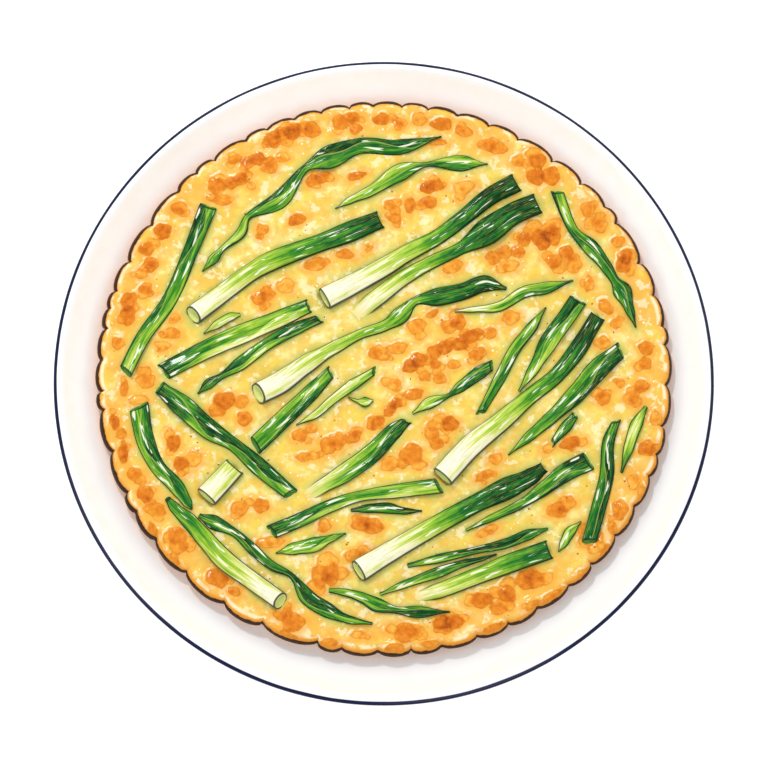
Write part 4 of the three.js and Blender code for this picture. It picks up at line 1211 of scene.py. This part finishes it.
def scatter(name, material, measures):
    """Small pieces on the crust as one plain mesh at the origin."""
    carrier = bpy.data.objects.new(name + "_carrier", pancake.data)
    scene.collection.objects.link(carrier)
    modifier = carrier.modifiers.new("scatter", "NODES")
    modifier.node_group = scatter_tree(name, material)
    for socket in modifier.node_group.interface.items_tree:
        if socket.in_out == "INPUT" and socket.name in measures:
            modifier[socket.identifier] = measures[socket.name]
    mesh = take_mesh(carrier, modifier, False)
    bead_faces = bead_segments * bead_rings
    print(name, len(mesh.polygons) // bead_faces, "pieces of", bead_faces, "faces")
    return smooth_object(name, mesh)


# %% Bubbles that also stand for painted glints, and crumbs
# The pale bubbles stand for glints of oil as well, as painted highlights.
pale_glint_batter, *_ = new_material("pale batter and painted glints", {"Base Color": linear("#FFEFC4"), "Roughness": 0.5})
crumb_brown, *_ = new_material("fried crumb", {"Base Color": linear("#C06A14"), "Roughness": 0.6})
bubbles_and_glints = scatter("batter_bubbles_and_glints", pale_glint_batter, {
    "Per Square Metre": 22000.0, "Smallest": 0.2 * MM, "Largest": 0.6 * MM, "Height": 0.3,
    "Clear Of Scallions": 0.8, "Clear Of Edge": 2.5, "Clear Of Blisters": 0.6, "Seed": 5})
crumbs = scatter("fried_crumbs", crumb_brown, {
    "Per Square Metre": 9000.0, "Smallest": 0.15 * MM, "Largest": 0.5 * MM, "Height": 0.5,
    "Clear Of Scallions": 0.6, "Clear Of Edge": 4.0, "Clear Of Blisters": -3.0, "Seed": 11})

# %% [markdown]
# Scallion skin is moist and smooth with fine ribs along it. Its colour runs from the white shank to dark
# green. One half of a folded leaf is painted lighter than the other, as painted light, and the skin is
# painted darker at its sides and underneath, as painted shade, and darker at the rims of its cuts. A film of
# oil gives it a clear coat, and white strokes painted along the ribs stand for its glints, as painted
# highlights.

# %% Patterns that run along a scallion
tree = skin_tree
skin = {
    name: add_node(tree, "ShaderNodeAttribute", output="Fac", attribute_name=name)
    for name in (
        "tone", "across", "upper", "along", "half", "ridge", "flip", "tube", "inside", "rim", "cover",
    )
}
work_out(tree, skin, (
    ("width place", "MULTIPLY", "across", "half"),
    ("slow along", "MULTIPLY", "along", 0.05),
    ("upper place", "MULTIPLY", "upper", 0.8),
))
run = add_node(tree, "ShaderNodeCombineXYZ", (skin["width place"], skin["slow along"], skin["upper place"]))
for name, scale, detail in (("streak", 1.5, 3.0), ("broad", 0.6, 2.0), ("thin", 4.2, 2.0)):
    skin[name] = add_node(tree, "ShaderNodeTexNoise", {"Vector": run, "Scale": scale, "Detail": detail})
skin["patchy"] = grain(tree, 6.0)
print(len(skin), "measures and patterns")

# %% From white shank to dark green
work_out(tree, skin, (
    ("streaks", "SMOOTH", "streak", 0.36, 0.64),
    ("off ridge", "SUBTRACT", "across", "ridge"),
    # Painted light: the half of a folded leaf that flip names is painted lighter than the other half.
    ("painted lit side", "MULTIPLY", "off ridge", "flip"),
    ("painted lit side", "SMOOTH", "painted lit side", -0.1, 0.1),
    ("flat", "SUBTRACT", 1.0, "tube"),
    ("painted light shift", "MULTIPLY", "painted lit side", "flat", -0.75),
    ("tone", "ADD", "tone", "painted light shift"),
))
for pattern, spread in (("broad", 2.4), ("streaks", 0.6), ("patchy", 0.8)):
    skin["tone"] = fray(tree, skin, "tone", pattern, spread)
greens = shade_ramp(tree, work_out(tree, skin, [("green", "DIVIDE", "tone", 3.2)]), (
    (0.0, "#F8F4DA"), (0.12, "#F4F0C6"), (0.28, "#D2DC6C"), (0.46, "#94BE34"), (0.62, "#43901F"),
    (0.78, "#0F6626"), (1.0, "#022E10"),
))
print("tones:", len(tree.nodes), "nodes")

# %% Ribs, painted glints and painted shade at the edges
work_out(tree, skin, (
    ("from ridge", "ABSOLUTE", "off ridge"),
    ("from side", "ABSOLUTE", "across"),
    ("from side", "SUBTRACT", 1.0, "from side"),
    ("from side", "MULTIPLY", "half", "from side"),
    # Painted shade: the edge value darkens the sides and the underside of each piece, and adds the rims of
    # its cuts, which are darker in their own colour.
    ("edge", "SMOOTH", "from side", 0.6, 0.24),
    ("underside", "SMOOTH", "upper", 0.25, -0.1),
    ("edge", "MAXIMUM", "edge", "underside"),
    ("outside", "SUBTRACT", 1.0, "inside"),
    ("edge", "MULTIPLY", "edge", "outside"),
    ("mouth edge", "SMOOTH", "rim", 0.1, 0.55),
    ("edge", "MAXIMUM", "edge", "mouth edge"),
    ("painted glint along", "MULTIPLY", "along", 0.12),
    ("painted glint depth", "MULTIPLY", "tone", 0.3),
))
run = add_node(tree, "ShaderNodeCombineXYZ", (skin["width place"], skin["painted glint along"], skin["painted glint depth"]))
skin["painted glint"] = add_node(tree, "ShaderNodeTexNoise", {"Vector": run, "Scale": 0.8, "Detail": 1.5})
colour = paint(tree, skin, greens, (
    ("thin lines", "#A8B04A", 0.45, ("thin", 0.56, 0.66)),
    ("rib of a leaf", "#B9D060", 0.5, ("from ridge", 0.1, 0.02), ("flat",)),
    ("inside a leaf", "#4E8C34", 1.0, ("inside",), ("flat",)),
    ("inside a stem", "#DDE58C", 1.0, ("inside",), ("tube",)),
    # Painted highlights: white strokes along the ribs stand for glints of the oil film.
    ("painted glint", "#F4F7E0", 0.85, ("painted glint", 0.65, 0.68), ("upper", 0.3, 0.6)),
    # Painted shade at the sides and underneath, and the darker rims of the cuts.
    ("painted shade at the edges and dark cut rims", "#06301A", 0.92, ("edge",)),
    ("batter run over it", "#F1DC8C", 0.85, ("cover",)),
))
tree.links.new(colour, skin_shader.inputs["Base Color"])
bump = add_node(tree, "ShaderNodeBump", {"Height": skin["streak"], "Strength": 0.35, "Distance": 0.4 * MM})
tree.links.new(bump, skin_shader.inputs["Normal"])
print("scallion skin:", len(tree.nodes), "nodes")

# %% [markdown]
# The plate is stoneware under a slightly warm white glaze. Round the batter the well is painted whiter, as
# painted light against the batter's shade, and a band inside the lip is painted whiter, as a painted
# highlight.
# A dark blue line was painted round the lip on a turntable, so its inner edge wavers a little. The foot ring
# stands on the kiln shelf, so it has no glaze.

# %% Glazed stoneware
line_width = 1.62
line_drop = 1.5
glazed, tree, shader = new_material("glazed stoneware", {"IOR": 1.52, "Specular IOR Level": 0.25})
place = add_node(tree, "ShaderNodeTexCoord", output="Object")
split = add_node(tree, "ShaderNodeSeparateXYZ", (place,)).node.outputs
glaze = {"x": split[0], "y": split[1], "z": split[2], "specks": grain(tree, 7.0), "waver": grain(tree, 25.0)}
work_out(tree, glaze, (
    ("x squared", "MULTIPLY", "x", "x"),
    ("y squared", "MULTIPLY", "y", "y"),
    ("radius", "ADD", "x squared", "y squared"),
    ("radius", "SQRT", "radius"),
    ("radius", "DIVIDE", "radius", MM),
    ("height", "DIVIDE", "z", MM),
))
glaze["line"] = fray(tree, glaze, "radius", "waver", 0.5)
line_start = plate_radius - line_width
line_low = plate_top - line_drop
colour = paint(tree, glaze, linear("#FFFAF2"), (
    ("specks", "#FEF7ED", 1.0, ("specks", 0.4, 0.7)),
    # Painted light: the well is painted whiter round the batter, where its shade falls.
    ("painted light round the batter", "#FFFFFF", 1.0, ("radius", well_radius + 17.0, well_radius + 7.0)),
    # Painted highlight: a band inside the lip is painted whiter.
    ("painted light on the lip", "#FEFDFB", 1.0, ("radius", plate_radius - 5.2, plate_radius - 3.8)),
    ("blue line", "#01103C", 1.0, ("line", line_start - 0.12, line_start + 0.12),
     ("height", line_low, line_low + 0.3)),
    ("bare foot", "#DCC9AE", 1.0, ("height", 0.6, 0.35)),
))
tree.links.new(colour, shader.inputs["Base Color"])
roughness = work_out(tree, glaze, (
    ("bare foot", "SMOOTH", "height", 0.6, 0.35),
    ("roughness", "MULTIPLY_ADD", "bare foot", 0.5, 0.14),
))
tree.links.new(roughness, shader.inputs["Roughness"])
ripple = grain(tree, 12.0, 1.0)
bump = add_node(tree, "ShaderNodeBump", {"Height": ripple, "Strength": 0.06, "Distance": 0.4 * MM})
tree.links.new(bump, shader.inputs["Normal"])
plate.data.materials.append(glazed)
print("glazed stoneware:", len(tree.nodes), "nodes")

# %% [markdown]
# ## Table and light
# The picture stands on plain white, with soft light from above the far side: the batter's shadow falls on
# the near part of the plate, and the highlights sit on the far side of each blister.

# %% Floor, lights and world
table_half = 2000.0
corners = [(x * table_half, y * table_half, 0.0) for x, y in ((-1, -1), (1, -1), (1, 1), (-1, 1))]
floor = mesh_object("table", corners, [(0, 1, 2, 3)])
table_white, *_ = new_material("white table", {
    "Base Color": linear("#FFFFFF"), "Roughness": 0.9, "Specular IOR Level": 0.1,
    "Emission Color": linear("#FFFFFF"), "Emission Strength": 0.22,
})
floor.data.materials.append(table_white)


def area_light(name, place, size, power):
    data = bpy.data.lights.new(name, "AREA")
    data.shape = "DISK"
    data.size = size * MM
    data.energy = power
    lamp = bpy.data.objects.new(name, data)
    scene.collection.objects.link(lamp)
    lamp.location = Vector(place) * MM
    lamp.rotation_euler = (-Vector(place)).to_track_quat("-Z", "Y").to_euler()
    return lamp


box_away = 1150
lamps = [area_light("window", (-300, 620, 900), 100, 3.4)]
for turn in np.radians((-20, 70, 160, 250)):
    lamps.append(area_light("softbox", (box_away * math.sin(turn), box_away * math.cos(turn), 850), 900, 2.4))
world = bpy.data.worlds.new("studio")
world.use_nodes = True
backdrop = world.node_tree.nodes["Background"].inputs
backdrop["Color"].default_value = (1.0, 1.0, 1.0, 1.0)
backdrop["Strength"].default_value = 0.73
scene.world = world
scene.view_settings.view_transform = "Standard"
print(len(lamps), "lights")

# %% Hand the pieces over
for node_name, piece in scallions.items():
    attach(piece, "root")
    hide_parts(node_name)
for small in (bubbles_and_glints, crumbs):
    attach(small, "root")
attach(pancake, "root")
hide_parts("pancake")
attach(plate, "root")
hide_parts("plate")
